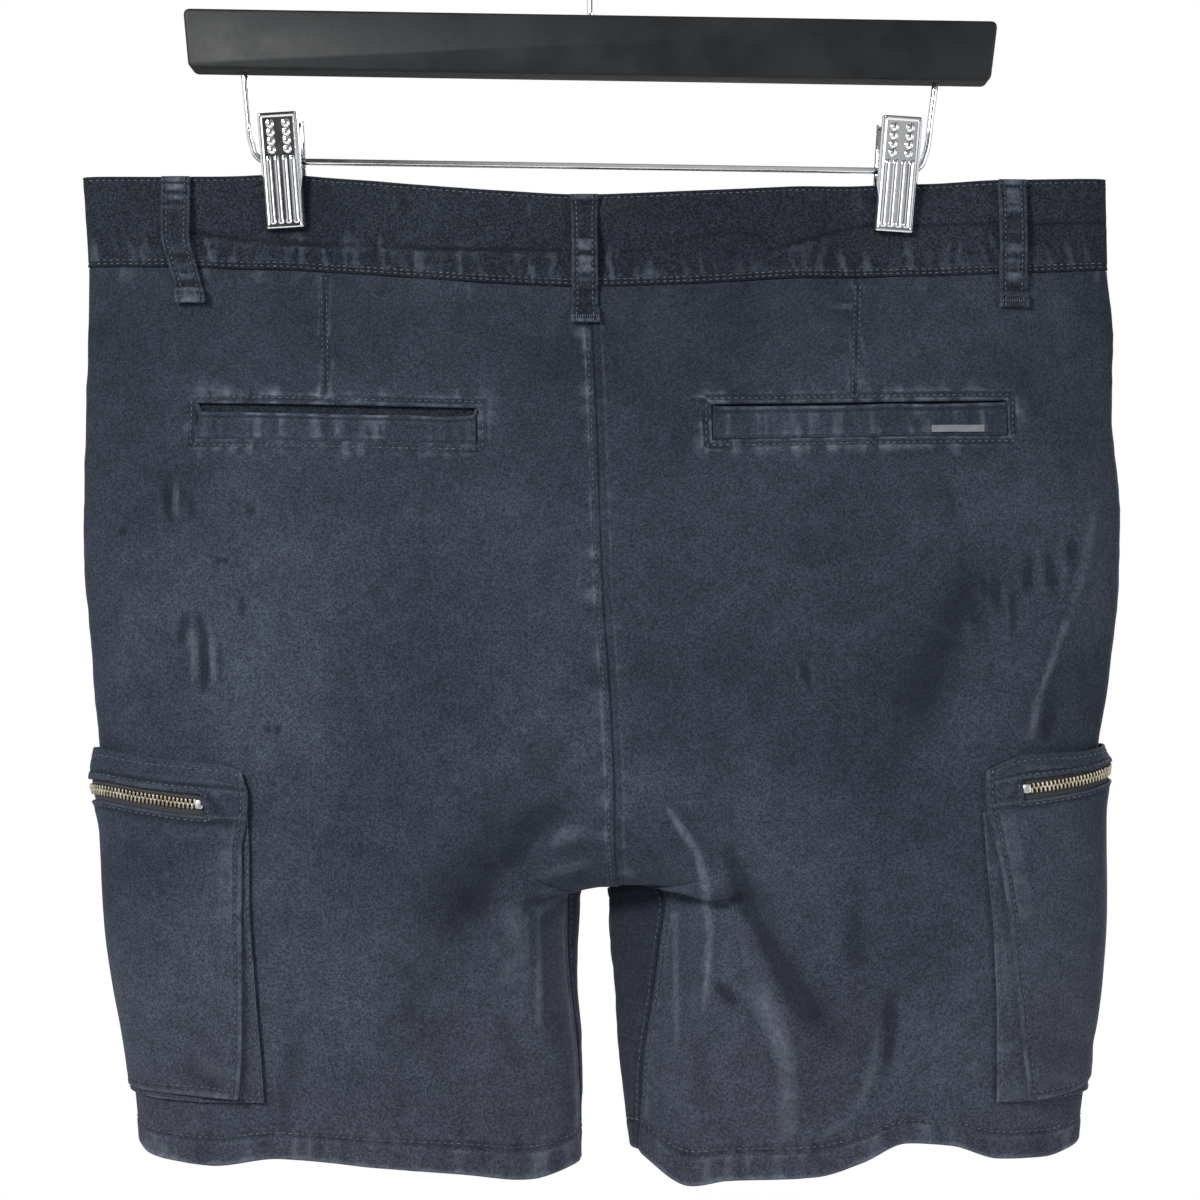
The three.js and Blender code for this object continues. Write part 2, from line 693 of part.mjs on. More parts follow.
function bandFacets(side, face) {
  return facets(BAND_ROWS, spread(BAND_COLUMNS), (row, u, share) => {
    return clothPoint(side, face, row, u, share * BAND_CLOTH);
  });
}

const byQuarter = (make) => Object.fromEntries(['left', 'right'].map((side) => [
  side,
  Object.fromEntries(['back', 'front'].map((face) => [face, make(side, face)])),
]));
const PANELS = byQuarter(panelFacets);
const BANDS = byQuarter(bandFacets);

// A point on the made cloth, on the band above the waist seam or on the panel below it
function onCloth(side, face, row, u, lift) {
  return onFacets(row < 0 ? BANDS[side][face] : PANELS[side][face], row, u, lift);
}

function panel(side, face) {
  const { rows, columns, outer, inner } = PANELS[side][face];
  const turned = rows.length - 2;
  const thick = inner.map((line, i) => (i < turned ? line : columns.map((column, j) => {
    const inward = line[j].clone().sub(outer[i][j]).normalize();
    return line[j].clone().addScaledVector(inward, HEM_TURN);
  })));
  return wall(outer, thick);
}

// Grid of points over an upright patch of the back or front
function patch(side, face, xs, dropsAt, lift) {
  return xs.map((x, i) => dropsAt(x, i).map((drop) => {
    const place = placeOf(side, face, x, drop);
    return onCloth(side, face, place.row, place.u, lift);
  }));
}

function pocketTop(pocket, x) {
  return lerp(pocket.top0, pocket.top1, (x - pocket.x0) / (pocket.x1 - pocket.x0));
}

function weltWindow(side) {
  const pocket = WELT_POCKETS[side];
  const drops = (x) => [pocketTop(pocket, x), pocketTop(pocket, x) + pocket.height];
  const xs = steps(pocket.x0, pocket.x1, 4);
  return wall(patch(side, 'back', xs, drops, WINDOW_REACH), patch(side, 'back', xs, drops, -WINDOW_REACH));
}

function welt(side) {
  const pocket = WELT_POCKETS[side];
  const xs = steps(pocket.x0 + GAP, pocket.x1 - GAP, 10);
  const drops = (x) => {
    const top = pocketTop(pocket, x);
    return steps(top + pocket.slit, top + pocket.height - GAP, 2);
  };
  const lift = -CLOTH / 2 + WELT_SET;
  const inner = patch(side, 'back', xs, drops, lift);
  const outer = patch(side, 'back', xs, drops, lift + WELT_CLOTH);
  return wall(outer, inner);
}

function facing(side) {
  const pocket = WELT_POCKETS[side];
  const xs = steps(pocket.x0 - FACING_MARGIN, pocket.x1 + FACING_MARGIN, 10);
  const drops = (x) => {
    const top = pocketTop(pocket, x);
    return steps(top - FACING_MARGIN, top + pocket.height + FACING_MARGIN, 2);
  };
  const lift = -CLOTH / 2 - GAP - 2 * SLACK;
  const outer = patch(side, 'back', xs, drops, lift);
  const inner = patch(side, 'back', xs, drops, lift - THIN_CLOTH);
  return wall(outer, inner);
}

function tagEdge() {
  const pocket = WELT_POCKETS.right;
  const lift = -CLOTH / 2 + WELT_SET + WELT_CLOTH + GAP;
  const drops = (x) => {
    const bottom = pocketTop(pocket, x) + pocket.height - TAG.rise;
    return [bottom - TAG.height, bottom];
  };
  const xs = steps(TAG.x0, TAG.x1, 3);
  return wall(patch('right', 'back', xs, drops, lift + TAG.cloth), patch('right', 'back', xs, drops, lift));
}

// Waistband: from the under end at the centre front, round the back, to the over end that laps it
function waistband() {
  const across = spread(BAND_COLUMNS);
  const backward = [...across].reverse();
  const places = [
    ...across.map((u) => ['right', 'front', u]),
    ...backward.slice(1).map((u) => ['right', 'back', u]),
    ...across.slice(1).map((u) => ['left', 'back', u]),
    ...backward.slice(1).map((u) => ['left', 'front', u]),
  ];
  const lapLift = BAND_CLOTH + GAP;
  const line = (row, lift) => {
    const points = places.map(([side, face, u]) => {
      const { x } = onCloth(side, face, row, u, 0);
      const laps = side === 'left' && face === 'front';
      const lapping = laps ? smooth((x - OVERLAP.start) / (OVERLAP.level - OVERLAP.start)) : 0;
      return onCloth(side, face, row, u, lift + lapping * lapLift);
    });
    for (const x of steps(CENTRE[0].x, OVERLAP.end, 3).slice(1)) {
      const place = placeOf('right', 'front', x, 0.5 * (WAIST[0].top + SEAM_LEVEL));
      points.push(onCloth('right', 'front', row, place.u, lift + lapLift));
    }
    return points;
  };
  const layer = (lift) => BAND_ROWS.map((row) => line(row, lift));
  return wall(layer(BAND_CLOTH / 2), layer(-BAND_CLOTH / 2));
}

function beltLoop({ side, face, top, foot, below }) {
  const topDrop = follow(WAIST, 'x', 'top', top);
  const seamDrop = follow(WAIST, 'x', 'seam', foot);
  const footDrop = seamDrop + below;
  const stand = BAND_CLOTH / 2 + GAP + SLACK / 2 + LOOP.cloth / 2;
  const edges = [-LOOP.width / 2, 0, LOOP.width / 2];
  const grid = steps(0, 1, LOOP.rows).map((k) => {
    const drop = lerp(topDrop + LOOP.inset, footDrop, k);
    const bow = k < LOOP.free ? LOOP.bow * Math.sin((Math.PI * k) / LOOP.free) ** 2 : 0;
    return edges.map((edge) => {
      const x = lerp(top, foot, k) + edge;
      const own = side === 'left' && x > CENTRE[0].x ? 'right' : side;
      const place = placeOf(own, face, x, drop);
      const onPanel = smooth((drop - seamDrop) / LOOP.ease) * (BAND_CLOTH - CLOTH) / 2;
      return onCloth(own, face, place.row, place.u, stand - onPanel + bow);
    });
  });
  return sheet(grid, LOOP.cloth);
}

// Cargo pockets
function pocketPoint(side, along, down, lift) {
  const row = (POCKET.top + down - SEAM_LEVEL) / PANEL_HEIGHT;
  const [shiftTop, shiftFoot] = POCKET_SHIFT[side];
  const around = along + lerp(shiftTop, shiftFoot, down / POCKET.baseDepth);
  const face = around < 0 ? 'back' : 'front';
  const u = 1 - Math.abs(around) / clothRow(side, face, row).length;
  return onCloth(side, face, row, u, lift);
}

function faceLift(along, down) {
  const half = follow(POCKET_WIDTHS, 'down', 'face', down);
  const middle = follow(POCKET_LIFT, 'down', 'middle', down);
  const edge = follow(POCKET_LIFT, 'down', 'edge', down);
  return lerp(edge, middle, smooth((half - Math.abs(along)) / POCKET_EDGE_REACH));
}

const FACE_DOWNS = [0, 5, 11, ZIP.down, 26, 36, 55, 80, 105, 130, 145, POCKET.faceDepth];
const FACE_HALF_SHARES = [0.04, 0.1, 0.18, 0.28, 0.42, 0.6, 0.8, 1];
const FACE_SHARES = [...FACE_HALF_SHARES.map((share) => -share).reverse(), ...FACE_HALF_SHARES];
const faceHalf = (down) => follow(POCKET_WIDTHS, 'down', 'face', down);

function faceFacets(side) {
  return facets(FACE_DOWNS, FACE_SHARES, (down, share, layer) => {
    const along = share * faceHalf(down);
    return pocketPoint(side, along, down, faceLift(along, down) + layer * CLOTH);
  });
}

const FACES = { left: faceFacets('left'), right: faceFacets('right') };

function onFace(side, along, down, lift) {
  return onFacets(FACES[side], down, along / faceHalf(down), lift);
}

function facePatch(side, alongs, downs, liftOf) {
  return downs.map((down) => alongs.map((along) => onFace(side, along, down, liftOf(down, along))));
}

function cargoFace(side) {
  const { outer, inner } = FACES[side];
  const opening = steps(-ZIP.half, ZIP.half, 14);
  const rim = [ZIP.down - ZIP.window / 2, ZIP.down + ZIP.window / 2];
  const cutter = wall(facePatch(side, opening, rim, () => 3), facePatch(side, opening, rim, () => -3));
  return cut(wall(outer, inner), cutter);
}

// The gusset runs down the back edge, along the bottom and up the front edge
const GUSSET_HALF_AROUND = [1, 3, 6, 10, 15, 22, 32, 46];
const GUSSET_AROUND = [...GUSSET_HALF_AROUND.map((around) => -around).reverse(), ...GUSSET_HALF_AROUND];
const GUSSET_ROWS = 9;
const GUSSET_BEND = 0.6;

function gussetOutline(side, column, inset, bottom) {
  const half = (down) => follow(POCKET_WIDTHS, 'down', column, down) - inset;
  const downs = steps(POCKET.gussetStart, bottom, GUSSET_ROWS);
  const shift = POCKET_SHIFT[side][1];
  const squeeze = half(bottom) / follow(POCKET_WIDTHS, 'down', 'base', POCKET.baseDepth);
  return [
    ...downs.map((down) => [-half(down), down]),
    ...GUSSET_AROUND.map((around) => [(around - shift) * squeeze, bottom]),
    ...[...downs].reverse().map((down) => [half(down), down]),
  ];
}

function cargoGusset(side) {
  const onLeg = CLOTH / 2 + GAP + THIN_CLOTH / 2;
  const underFace = -CLOTH / 2 - GAP - THIN_CLOTH / 2 - SLACK;
  const base = gussetOutline(side, 'base', 0, POCKET.baseDepth);
  const edge = gussetOutline(side, 'face', POCKET.edgeTuck, POCKET.faceDepth - POCKET.edgeTuck);
  const grid = base.map(([baseAlong, baseDown], i) => {
    const [edgeAlong, edgeDown] = edge[i];
    const under = onFace(side, edgeAlong, edgeDown, underFace);
    const foot = pocketPoint(side, baseAlong, baseDown, onLeg + 2 * SLACK);
    const halfAlong = lerp(baseAlong, edgeAlong, 0.5);
    const halfDown = lerp(baseDown, edgeDown, 0.5);
    const low = pocketPoint(side, halfAlong, halfDown, onLeg + SLACK);
    const straight = foot.clone().lerp(under, 0.5);
    return [foot, low.lerp(straight, GUSSET_BEND), under];
  });
  return sheet(grid, THIN_CLOTH);
}

function cargoZip(side) {
  const end = ZIP.half + ZIP.overrun;
  const chainEnd = ZIP.half - GAP;
  const folds = FACE_SHARES.map((share) => share * faceHalf(ZIP.down));
  const inside = folds.filter((along) => Math.abs(along) < chainEnd - 1);
  const alongs = [-end, -chainEnd - ZIP.step, -chainEnd, ...inside, chainEnd, chainEnd + ZIP.step, end];
  const chain = ZIP.chain / 2;
  const halfDowns = [chain, chain + ZIP.step, ZIP.tapeHalf];
  const offsets = [...halfDowns.map((d) => -d).reverse(), 0, ...halfDowns];
  const downs = offsets.map((offset) => ZIP.down + offset);
  const tape = -CLOTH / 2 - GAP;
  const raised = (down, along) => {
    const near = ZIP.step / 2;
    const onChain = Math.abs(down - ZIP.down) < chain + near && Math.abs(along) < chainEnd + near;
    return tape + (onChain ? ZIP.rib : 0);
  };
  return wall(facePatch(side, alongs, downs, raised), facePatch(side, alongs, downs, () => tape - TAPE));
}

// Frame of the slider: along the zip, outward, and up
function sliderFrame(side) {
  const lift = -CLOTH / 2 + ZIP.rib + SLACK / 2;
  const here = onFace(side, SLIDER.along, ZIP.down, lift);
  const beyond = onFace(side, SLIDER.along + SLIDER.length / 2, ZIP.down, lift);
  const along = beyond.sub(here).setZ(0).normalize();
  const up = new THREE.Vector3(0, 0, 1);
  const outward = new THREE.Vector3().crossVectors(up, along).normalize();
  if (outward.y < 0) outward.negate();
  const across = new THREE.Vector3().crossVectors(outward, up);
  const group = new THREE.Group();
  group.matrix.makeBasis(across, outward, up).setPosition(here);
  group.matrix.decompose(group.position, group.quaternion, group.scale);
  return group;
}

// In the slider's frame X runs along the zip, Y outward and Z up
function sliderBody() {
  const outline = new THREE.Shape([
    new THREE.Vector2(-SLIDER.length / 2, -SLIDER.width / 2),
    new THREE.Vector2(SLIDER.length / 4, -SLIDER.width / 2),
    new THREE.Vector2(SLIDER.length / 2, -SLIDER.nose / 2),
    new THREE.Vector2(SLIDER.length / 2, SLIDER.nose / 2),
    new THREE.Vector2(SLIDER.length / 4, SLIDER.width / 2),
    new THREE.Vector2(-SLIDER.length / 2, SLIDER.width / 2),
  ]);
  const plate = new THREE.ExtrudeGeometry(outline, { depth: SLIDER.plate, bevelEnabled: false });
  plate.rotateX(-Math.PI / 2);
  const { half, bar, root, shoulder } = BRIDGE;
  const foot = SLIDER.plate - root;
  const top = barHeight() + bar / 2;
  const halfBridge = [
    [half - bar, foot],
    [half, foot],
    [half, top - shoulder],
    [half - shoulder, top],
  ];
  const inner = [half - bar, top - bar];
  const mirrored = [inner, ...halfBridge].reverse().map(([x, y]) => [-x, y]);
  const points = [inner, ...halfBridge, ...mirrored];
  const bridge = new THREE.Shape(points.map(([x, y]) => new THREE.Vector2(x, y)));
  const arch = new THREE.ExtrudeGeometry(bridge, { depth: bar, bevelEnabled: false });
  arch.translate(0, 0, -bar / 2);
  return join(plate, arch);
}

function barHeight() {
  return SLIDER.plate + PULL.ring + PULL.wire / 2 + GAP;
}

// The pull hangs from a ring round the slider's bar
function pullTab() {
  const ring = new THREE.TorusGeometry(PULL.ring, PULL.wire / 2, 6, 12);
  ring.rotateY(Math.PI / 2);
  const half = PULL.width / 2;
  const start = -PULL.ring - PULL.sink;
  const outline = new THREE.Shape();
  outline.moveTo(-half / 2, start);
  outline.lineTo(-half, start - half / 2);
  outline.lineTo(-half, start - PULL.length + half / 2);
  outline.absarc(0, start - PULL.length + half / 2, half, Math.PI, 2 * Math.PI, false);
  outline.lineTo(half, start - half / 2);
  outline.lineTo(half / 2, start);
  const options = { depth: PULL.plate, bevelEnabled: false, curveSegments: 5 };
  const plate = new THREE.ExtrudeGeometry(outline, options);
  plate.rotateX(Math.PI / 2);
  plate.translate(0, PULL.plate / 2, 0);
  return join(ring, plate);
}

// Front closing
function flyLap() {
  const rows = steps(0, 1, 9);
  const columns = steps(0, 1, 5);
  const lift = CLOTH / 2 + GAP;
  const pointAt = (k, c, rise) => {
    const turn = smooth(((k - 1) * LAP.depth + LAP.corner) / LAP.corner);
    const x = lerp(lerp(LAP.x0, LAP.x1, turn * LAP.narrowing), LAP.x1, c);
    const drop = follow(WAIST, 'x', 'seam', x) + LAP.start + k * LAP.depth;
    const centre = follow(CENTRE, 'drop', 'x', drop);
    const shift = centre - CENTRE[0].x;
    const own = x + shift > centre ? 'right' : 'left';
    const place = placeOf(own, 'front', x + shift, drop);
    return onCloth(own, 'front', place.row, place.u, rise);
  };
  const grid = (rise) => rows.map((k) => columns.map((c) => pointAt(k, c, rise)));
  return wall(grid(lift + THIN_CLOTH), grid(lift));
}

function waistButton() {
  const drop = follow(WAIST, 'x', 'top', BUTTON.x) + BUTTON.below;
  const place = placeOf('right', 'front', BUTTON.x, drop);
  const lift = BAND_CLOTH / 2 + GAP + BAND_CLOTH + GAP;
  const point = onCloth('right', 'front', place.row, place.u, lift);
  const { radius, height, rim, edge } = BUTTON;
  const profile = [
    [0, 0],
    [radius - edge, 0],
    [radius, edge],
    [radius, height - edge],
    [radius - edge, height],
    [radius - rim, height],
    [radius - rim - edge, height - edge],
    [0, height - edge],
  ].map(([r, h]) => new THREE.Vector2(r, h));
  const button = mesh('waist_button', new THREE.LatheGeometry(profile, 20), BUTTON_RESIN);
  const outward = clothNormal('right', 'front', place.row, place.u);
  button.position.copy(point);
  button.quaternion.setFromUnitVectors(new THREE.Vector3(0, 1, 0), outward);
  return button;
}

// Hanger
function tube(points, wire, sides, count) {
  const section = new THREE.Shape();
  section.absarc(0, 0, wire / 2, 0, 2 * Math.PI, false);
  const path = new THREE.CatmullRomCurve3(points, false, 'centripetal');
  const options = { steps: count, extrudePath: path, curveSegments: sides / 2, bevelEnabled: false };
  return new THREE.ExtrudeGeometry(section, options);
}

function arc(centreX, centreZ, radius, fromDegrees, toDegrees, count) {
  return steps(fromDegrees, toDegrees, count).map((degrees) => {
    const angle = THREE.MathUtils.degToRad(degrees);
    return new THREE.Vector3(centreX + radius * Math.cos(angle), 0, centreZ + radius * Math.sin(angle));
  });
}

function hangerBar() {
  const bottom = -BAR.top - BAR.height;
  const topHalf = BAR.width / 2;
  const lowHalf = topHalf - BAR.slant;
  const { corner: c, swell, bevel } = BAR;
  const outline = new THREE.Shape();
  outline.moveTo(-topHalf + c, -BAR.top);
  outline.lineTo(topHalf - c, -BAR.top);
  outline.quadraticCurveTo(topHalf, -BAR.top, topHalf - swell, -BAR.top - c);
  outline.lineTo(lowHalf + swell, bottom + c);
  outline.quadraticCurveTo(lowHalf, bottom, lowHalf - c, bottom);
  outline.lineTo(-lowHalf + c, bottom);
  outline.quadraticCurveTo(-lowHalf, bottom, -lowHalf - swell, bottom + c);
  outline.lineTo(-topHalf + swell, -BAR.top - c);
  outline.quadraticCurveTo(-topHalf, -BAR.top, -topHalf + c, -BAR.top);
  const bar = new THREE.ExtrudeGeometry(outline, {
    depth: BAR.thickness - 2 * bevel,
    bevelThickness: bevel,
    bevelSize: bevel,
    bevelOffset: -bevel,
    bevelSegments: 2,
    curveSegments: 4,
  });
  bar.rotateX(Math.PI / 2);
  bar.translate(0, BAR.thickness / 2 - bevel, 0);
  return bar;
}

function hangerHook() {
  const { radius, wire, throat, turnEnd, crookStart, tipAngle } = HOOK;
  const centre = wire / 2 - radius;
  const bottom = centre - radius;
  const stem = steps(-BAR.top + GAP, bottom - throat, 4).map((z) => new THREE.Vector3(0, 0, z));
  const turn = arc(throat, bottom - throat, throat, 180, turnEnd, 4).slice(1);
  const crook = arc(0, centre, radius, crookStart, tipAngle, 24);
  return tube([...stem, ...turn, ...crook], wire, 8, 44);
}

function clipWire() {
  const { wire, topHalf, bottomHalf, bottom, bend, straight } = CLIP_WIRE;
  const top = -BAR.top - BAR.height - GAP;
  const leg = steps(top, -bottom + 1.5 * bend, 3).map((z) => {
    const share = (top - z) / (top + bottom);
    return new THREE.Vector3(-lerp(topHalf, bottomHalf, share), 0, z);
  });
  const corner = arc(-bottomHalf + bend, -bottom + bend, bend, 184, 264, 4);
  const half = [...leg, ...corner, new THREE.Vector3(-bottomHalf + 2 * bend, 0, -bottom)];
  const mirrored = [...half].reverse().map((p) => new THREE.Vector3(-p.x, 0, p.z));
  const inner = bottomHalf - straight;
  const middle = steps(-inner, inner, 4).map((x) => new THREE.Vector3(x, 0, -bottom));
  return tube([...half, ...middle, ...mirrored], wire, 8, 48);
}

// A clip plate is a shallow channel of sheet, leaning out above the wire that it turns on
function clipPlate(facingSign) {
  const half = CLIP.width / 2;
  const { sheet: metal, side, height } = CLIP;
  const channel = new THREE.Shape([
    new THREE.Vector2(-half, 0),
    new THREE.Vector2(-half, side),
    new THREE.Vector2(half, side),
    new THREE.Vector2(half, 0),
    new THREE.Vector2(half - metal, 0),
    new THREE.Vector2(half - metal, side - metal),
    new THREE.Vector2(-half + metal, side - metal),
    new THREE.Vector2(-half + metal, 0),
  ]);
  const plate = new THREE.ExtrudeGeometry(channel, { depth: height, bevelEnabled: false });
  plate.translate(0, 0, -height);
  const lean = Math.atan2(CLIP.splay, height);
  plate.rotateX(-lean);
  plate.translate(0, CLIP.jaw + height * Math.sin(lean), 0);
  if (facingSign < 0) plate.rotateZ(Math.PI);
  return plate;
}

// Height of the wire's top in a clip's own frame, where the wire crosses under the whole spring
function wireTop(name) {
  const { x, top, tilt } = CLIPS[name];
  const upright = new THREE.Vector3(0, 1, 0);
  const onWire = (along) => {
    const point = new THREE.Vector3(along, 0, -CLIP_WIRE.bottom).applyAxisAngle(upright, HANGER_TILT);
    return point.sub(new THREE.Vector3(x, 0, -top)).applyAxisAngle(upright, -tilt);
  };
  const left = onWire(-CLIP_WIRE.bottomHalf);
  const right = onWire(CLIP_WIRE.bottomHalf);
  const middle = lerp(left.z, right.z, -left.x / (right.x - left.x));
  const climb = (SPRING.width / 2) * Math.tan(Math.abs(HANGER_TILT - tilt));
  return middle + climb + CLIP_WIRE.wire / 2;
}

// How far the inside of a plate stands from the clip's middle plane at a height
function plateInside(z) {
  const spread = (CLIP.splay / CLIP.height) * (CLIP.height + z);
  return CLIP.jaw + spread + CLIP.side - CLIP.sheet - GAP;
}

// The spring is a strip bent over the wire, between the two plates
function clipSpring(name) {
  const { metal, fall, foot, width } = SPRING;
  const under = wireTop(name) + GAP;
  const shoulder = under + metal - fall;
  const low = -CLIP.height * foot;
  const outline = [
    [-plateInside(low), low],
    [-plateInside(shoulder), shoulder],
    [0, under + metal],
    [plateInside(shoulder), shoulder],
    [plateInside(low), low],
  ];
  const inner = outline.map(([y, z]) => [y - Math.sign(y) * metal, z === low ? z : z - metal]).reverse();
  const shape = new THREE.Shape([...outline, ...inner].map(([y, z]) => new THREE.Vector2(y, z)));
  const spring = new THREE.ExtrudeGeometry(shape, { depth: width, bevelEnabled: false });
  spring.translate(0, 0, -width / 2);
  spring.rotateX(Math.PI / 2);
  spring.rotateZ(Math.PI / 2);
  return spring;
}

function clipGroup(name) {
  const { x, top, tilt } = CLIPS[name];
  const group = new THREE.Group();
  group.add(mesh(`clip_${name}_near`, clipPlate(-1), CHROME));
  group.add(mesh(`clip_${name}_far`, clipPlate(1), CHROME));
  group.add(mesh(`clip_${name}_spring`, clipSpring(name), CHROME));
  group.position.set(x, 0, -top);
  group.rotation.y = tilt;
  return group;
}

// The whole object
const object = new THREE.Group();

for (const side of ['left', 'right']) {
  object.add(mesh(`back_${side}`, cut(panel(side, 'back'), weltWindow(side)), TWILL));
  object.add(mesh(`front_${side}`, panel(side, 'front'), TWILL));
  object.add(mesh(`back_welt_${side}`, welt(side), TWILL));
  object.add(mesh(`back_facing_${side}`, facing(side), BAND_TWILL));
  object.add(mesh(`cargo_face_${side}`, cargoFace(side), TWILL));
  object.add(mesh(`cargo_gusset_${side}`, cargoGusset(side), HEM_TWILL));
  object.add(mesh(`cargo_zip_${side}`, cargoZip(side), ZIP_CLOTH));
  const slider = sliderFrame(side);
  slider.add(mesh(`cargo_slider_${side}`, sliderBody(), ZIP_METAL));
  const pull = mesh(`cargo_pull_${side}`, pullTab(), ZIP_METAL);
  pull.position.y = barHeight();
  slider.add(pull);
  object.add(slider);
  object.add(clipGroup(side));
}
object.add(mesh('back_tag', tagEdge(), TAG_CLOTH));
object.add(mesh('waistband', waistband(), BAND_TWILL));
for (const [name, loop] of Object.entries(LOOPS)) object.add(mesh(name, beltLoop(loop), BAND_TWILL));
object.add(mesh('fly_lap', flyLap(), TWILL));
object.add(waistButton());

const hanger = new THREE.Group();
hanger.add(mesh('hanger_bar', hangerBar(), BLACK_WOOD));
hanger.add(mesh('hanger_hook', hangerHook(), CHROME));
hanger.add(mesh('hanger_wire', clipWire(), CHROME));
hanger.rotation.y = HANGER_TILT;
object.add(hanger);

export default object;
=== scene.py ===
import math

import bmesh
import bpy
import numpy as np
from mathutils import Matrix, Vector
from mathutils.bvhtree import BVHTree


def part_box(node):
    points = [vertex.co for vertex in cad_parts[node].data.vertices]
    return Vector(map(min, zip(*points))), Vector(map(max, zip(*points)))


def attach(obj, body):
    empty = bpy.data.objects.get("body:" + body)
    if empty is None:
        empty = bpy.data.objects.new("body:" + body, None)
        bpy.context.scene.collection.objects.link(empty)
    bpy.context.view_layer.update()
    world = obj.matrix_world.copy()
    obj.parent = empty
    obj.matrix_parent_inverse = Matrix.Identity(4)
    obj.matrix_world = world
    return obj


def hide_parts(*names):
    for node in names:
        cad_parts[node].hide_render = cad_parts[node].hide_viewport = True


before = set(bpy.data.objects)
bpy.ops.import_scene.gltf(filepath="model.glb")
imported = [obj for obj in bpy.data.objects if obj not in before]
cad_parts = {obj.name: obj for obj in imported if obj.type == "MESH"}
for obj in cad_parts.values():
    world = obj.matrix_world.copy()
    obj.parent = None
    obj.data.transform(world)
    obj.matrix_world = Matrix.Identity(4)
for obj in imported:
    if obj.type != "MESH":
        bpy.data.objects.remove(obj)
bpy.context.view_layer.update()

# Cargo shorts seen from behind, hung by the waistband from a clip hanger.
# Tables and sizes are in millimetres. A drop is a depth below the origin, so z is minus the drop.
# -X is the wearer's left, +X the wearer's right, -Y the back and +Y the front.
MM = 0.001
BODY = "shorts_on_hanger"

# Cloth thicknesses
CLOTH = 1.3
BAND_CLOTH = 2.4
WELT_CLOTH = 1.9
THIN_CLOTH = 1.0
LOOP_CLOTH = 1.7
GAP = 0.3

# Levels, as drops
SEAM_LEVEL = 205.0
HEM_LEVEL = 606.0
CROTCH_LEVEL = 470.0
SEAT_LEVEL = 420.0
WAIST_TOP = 158.6
PANEL_HEIGHT = HEM_LEVEL - SEAM_LEVEL
HEM_DEPTH = 13.0


# Camera, stage and light
def look_from_behind():
    distance = 0.95
    seen_width = 0.552
    data = bpy.data.cameras.new("camera")
    data.angle = 2 * math.atan(seen_width / 2 / distance)
    camera = bpy.data.objects.new("camera", data)
    camera.location = (0.003, -distance, -0.3527)
    camera.rotation_euler = (math.pi / 2, 0, 0)
    bpy.context.scene.collection.objects.link(camera)
    bpy.context.scene.camera = camera


def lay_floor():
    bm = bmesh.new()
    bmesh.ops.create_circle(bm, cap_ends=True, segments=96, radius=2.1)
    bmesh.ops.translate(bm, verts=bm.verts, vec=(0, 0, -1.25))
    data = bpy.data.meshes.new("floor")
    bm.to_mesh(data)
    bm.free()
    floor = bpy.data.objects.new("floor", data)
    bpy.context.scene.collection.objects.link(floor)
    data.materials.append(plain("floor_white", (0.93, 0.93, 0.93), 0.9))


def soft_lamp(name, place, aim, size, power):
    data = bpy.data.lights.new(name, "AREA")
    data.shape = "DISK"
    data.size = size
    data.energy = power
    lamp = bpy.data.objects.new(name, data)
    lamp.location = place
    lamp.rotation_euler = (Vector(aim) - Vector(place)).to_track_quat("-Z", "Y").to_euler()
    bpy.context.scene.collection.objects.link(lamp)


def room_bands(tree):
    """What polished metal mirrors: a dark room behind the camera, bright windows to its sides."""
    split = tree.nodes.new("ShaderNodeSeparateXYZ")
    tree.links.new(tree.nodes.new("ShaderNodeTexCoord").outputs["Generated"], split.inputs[0])
    ramp = tree.nodes.new("ShaderNodeValToRGB")
    bands = ramp.color_ramp.elements
    bands[0].position, bands[0].color = 0.0, (0.9, 0.92, 0.95, 1)
    bands[1].position, bands[1].color = 1.0, (0.8, 0.82, 0.85, 1)
    for place, shade in ((0.22, 1.0), (0.30, 0.08), (0.44, 0.05), (0.49, 0.55), (0.56, 0.6), (0.60, 0.06), (0.74, 0.1), (0.80, 1.0)):
        band = bands.new(place)
        band.color = (shade, shade, shade, 1)
    sideways = tree.nodes.new("ShaderNodeMapRange")
    sideways.inputs["From Min"].default_value = -1
    tree.links.new(split.outputs["X"], sideways.inputs["Value"])
    tree.links.new(sideways.outputs["Result"], ramp.inputs["Fac"])
    return ramp.outputs["Color"]


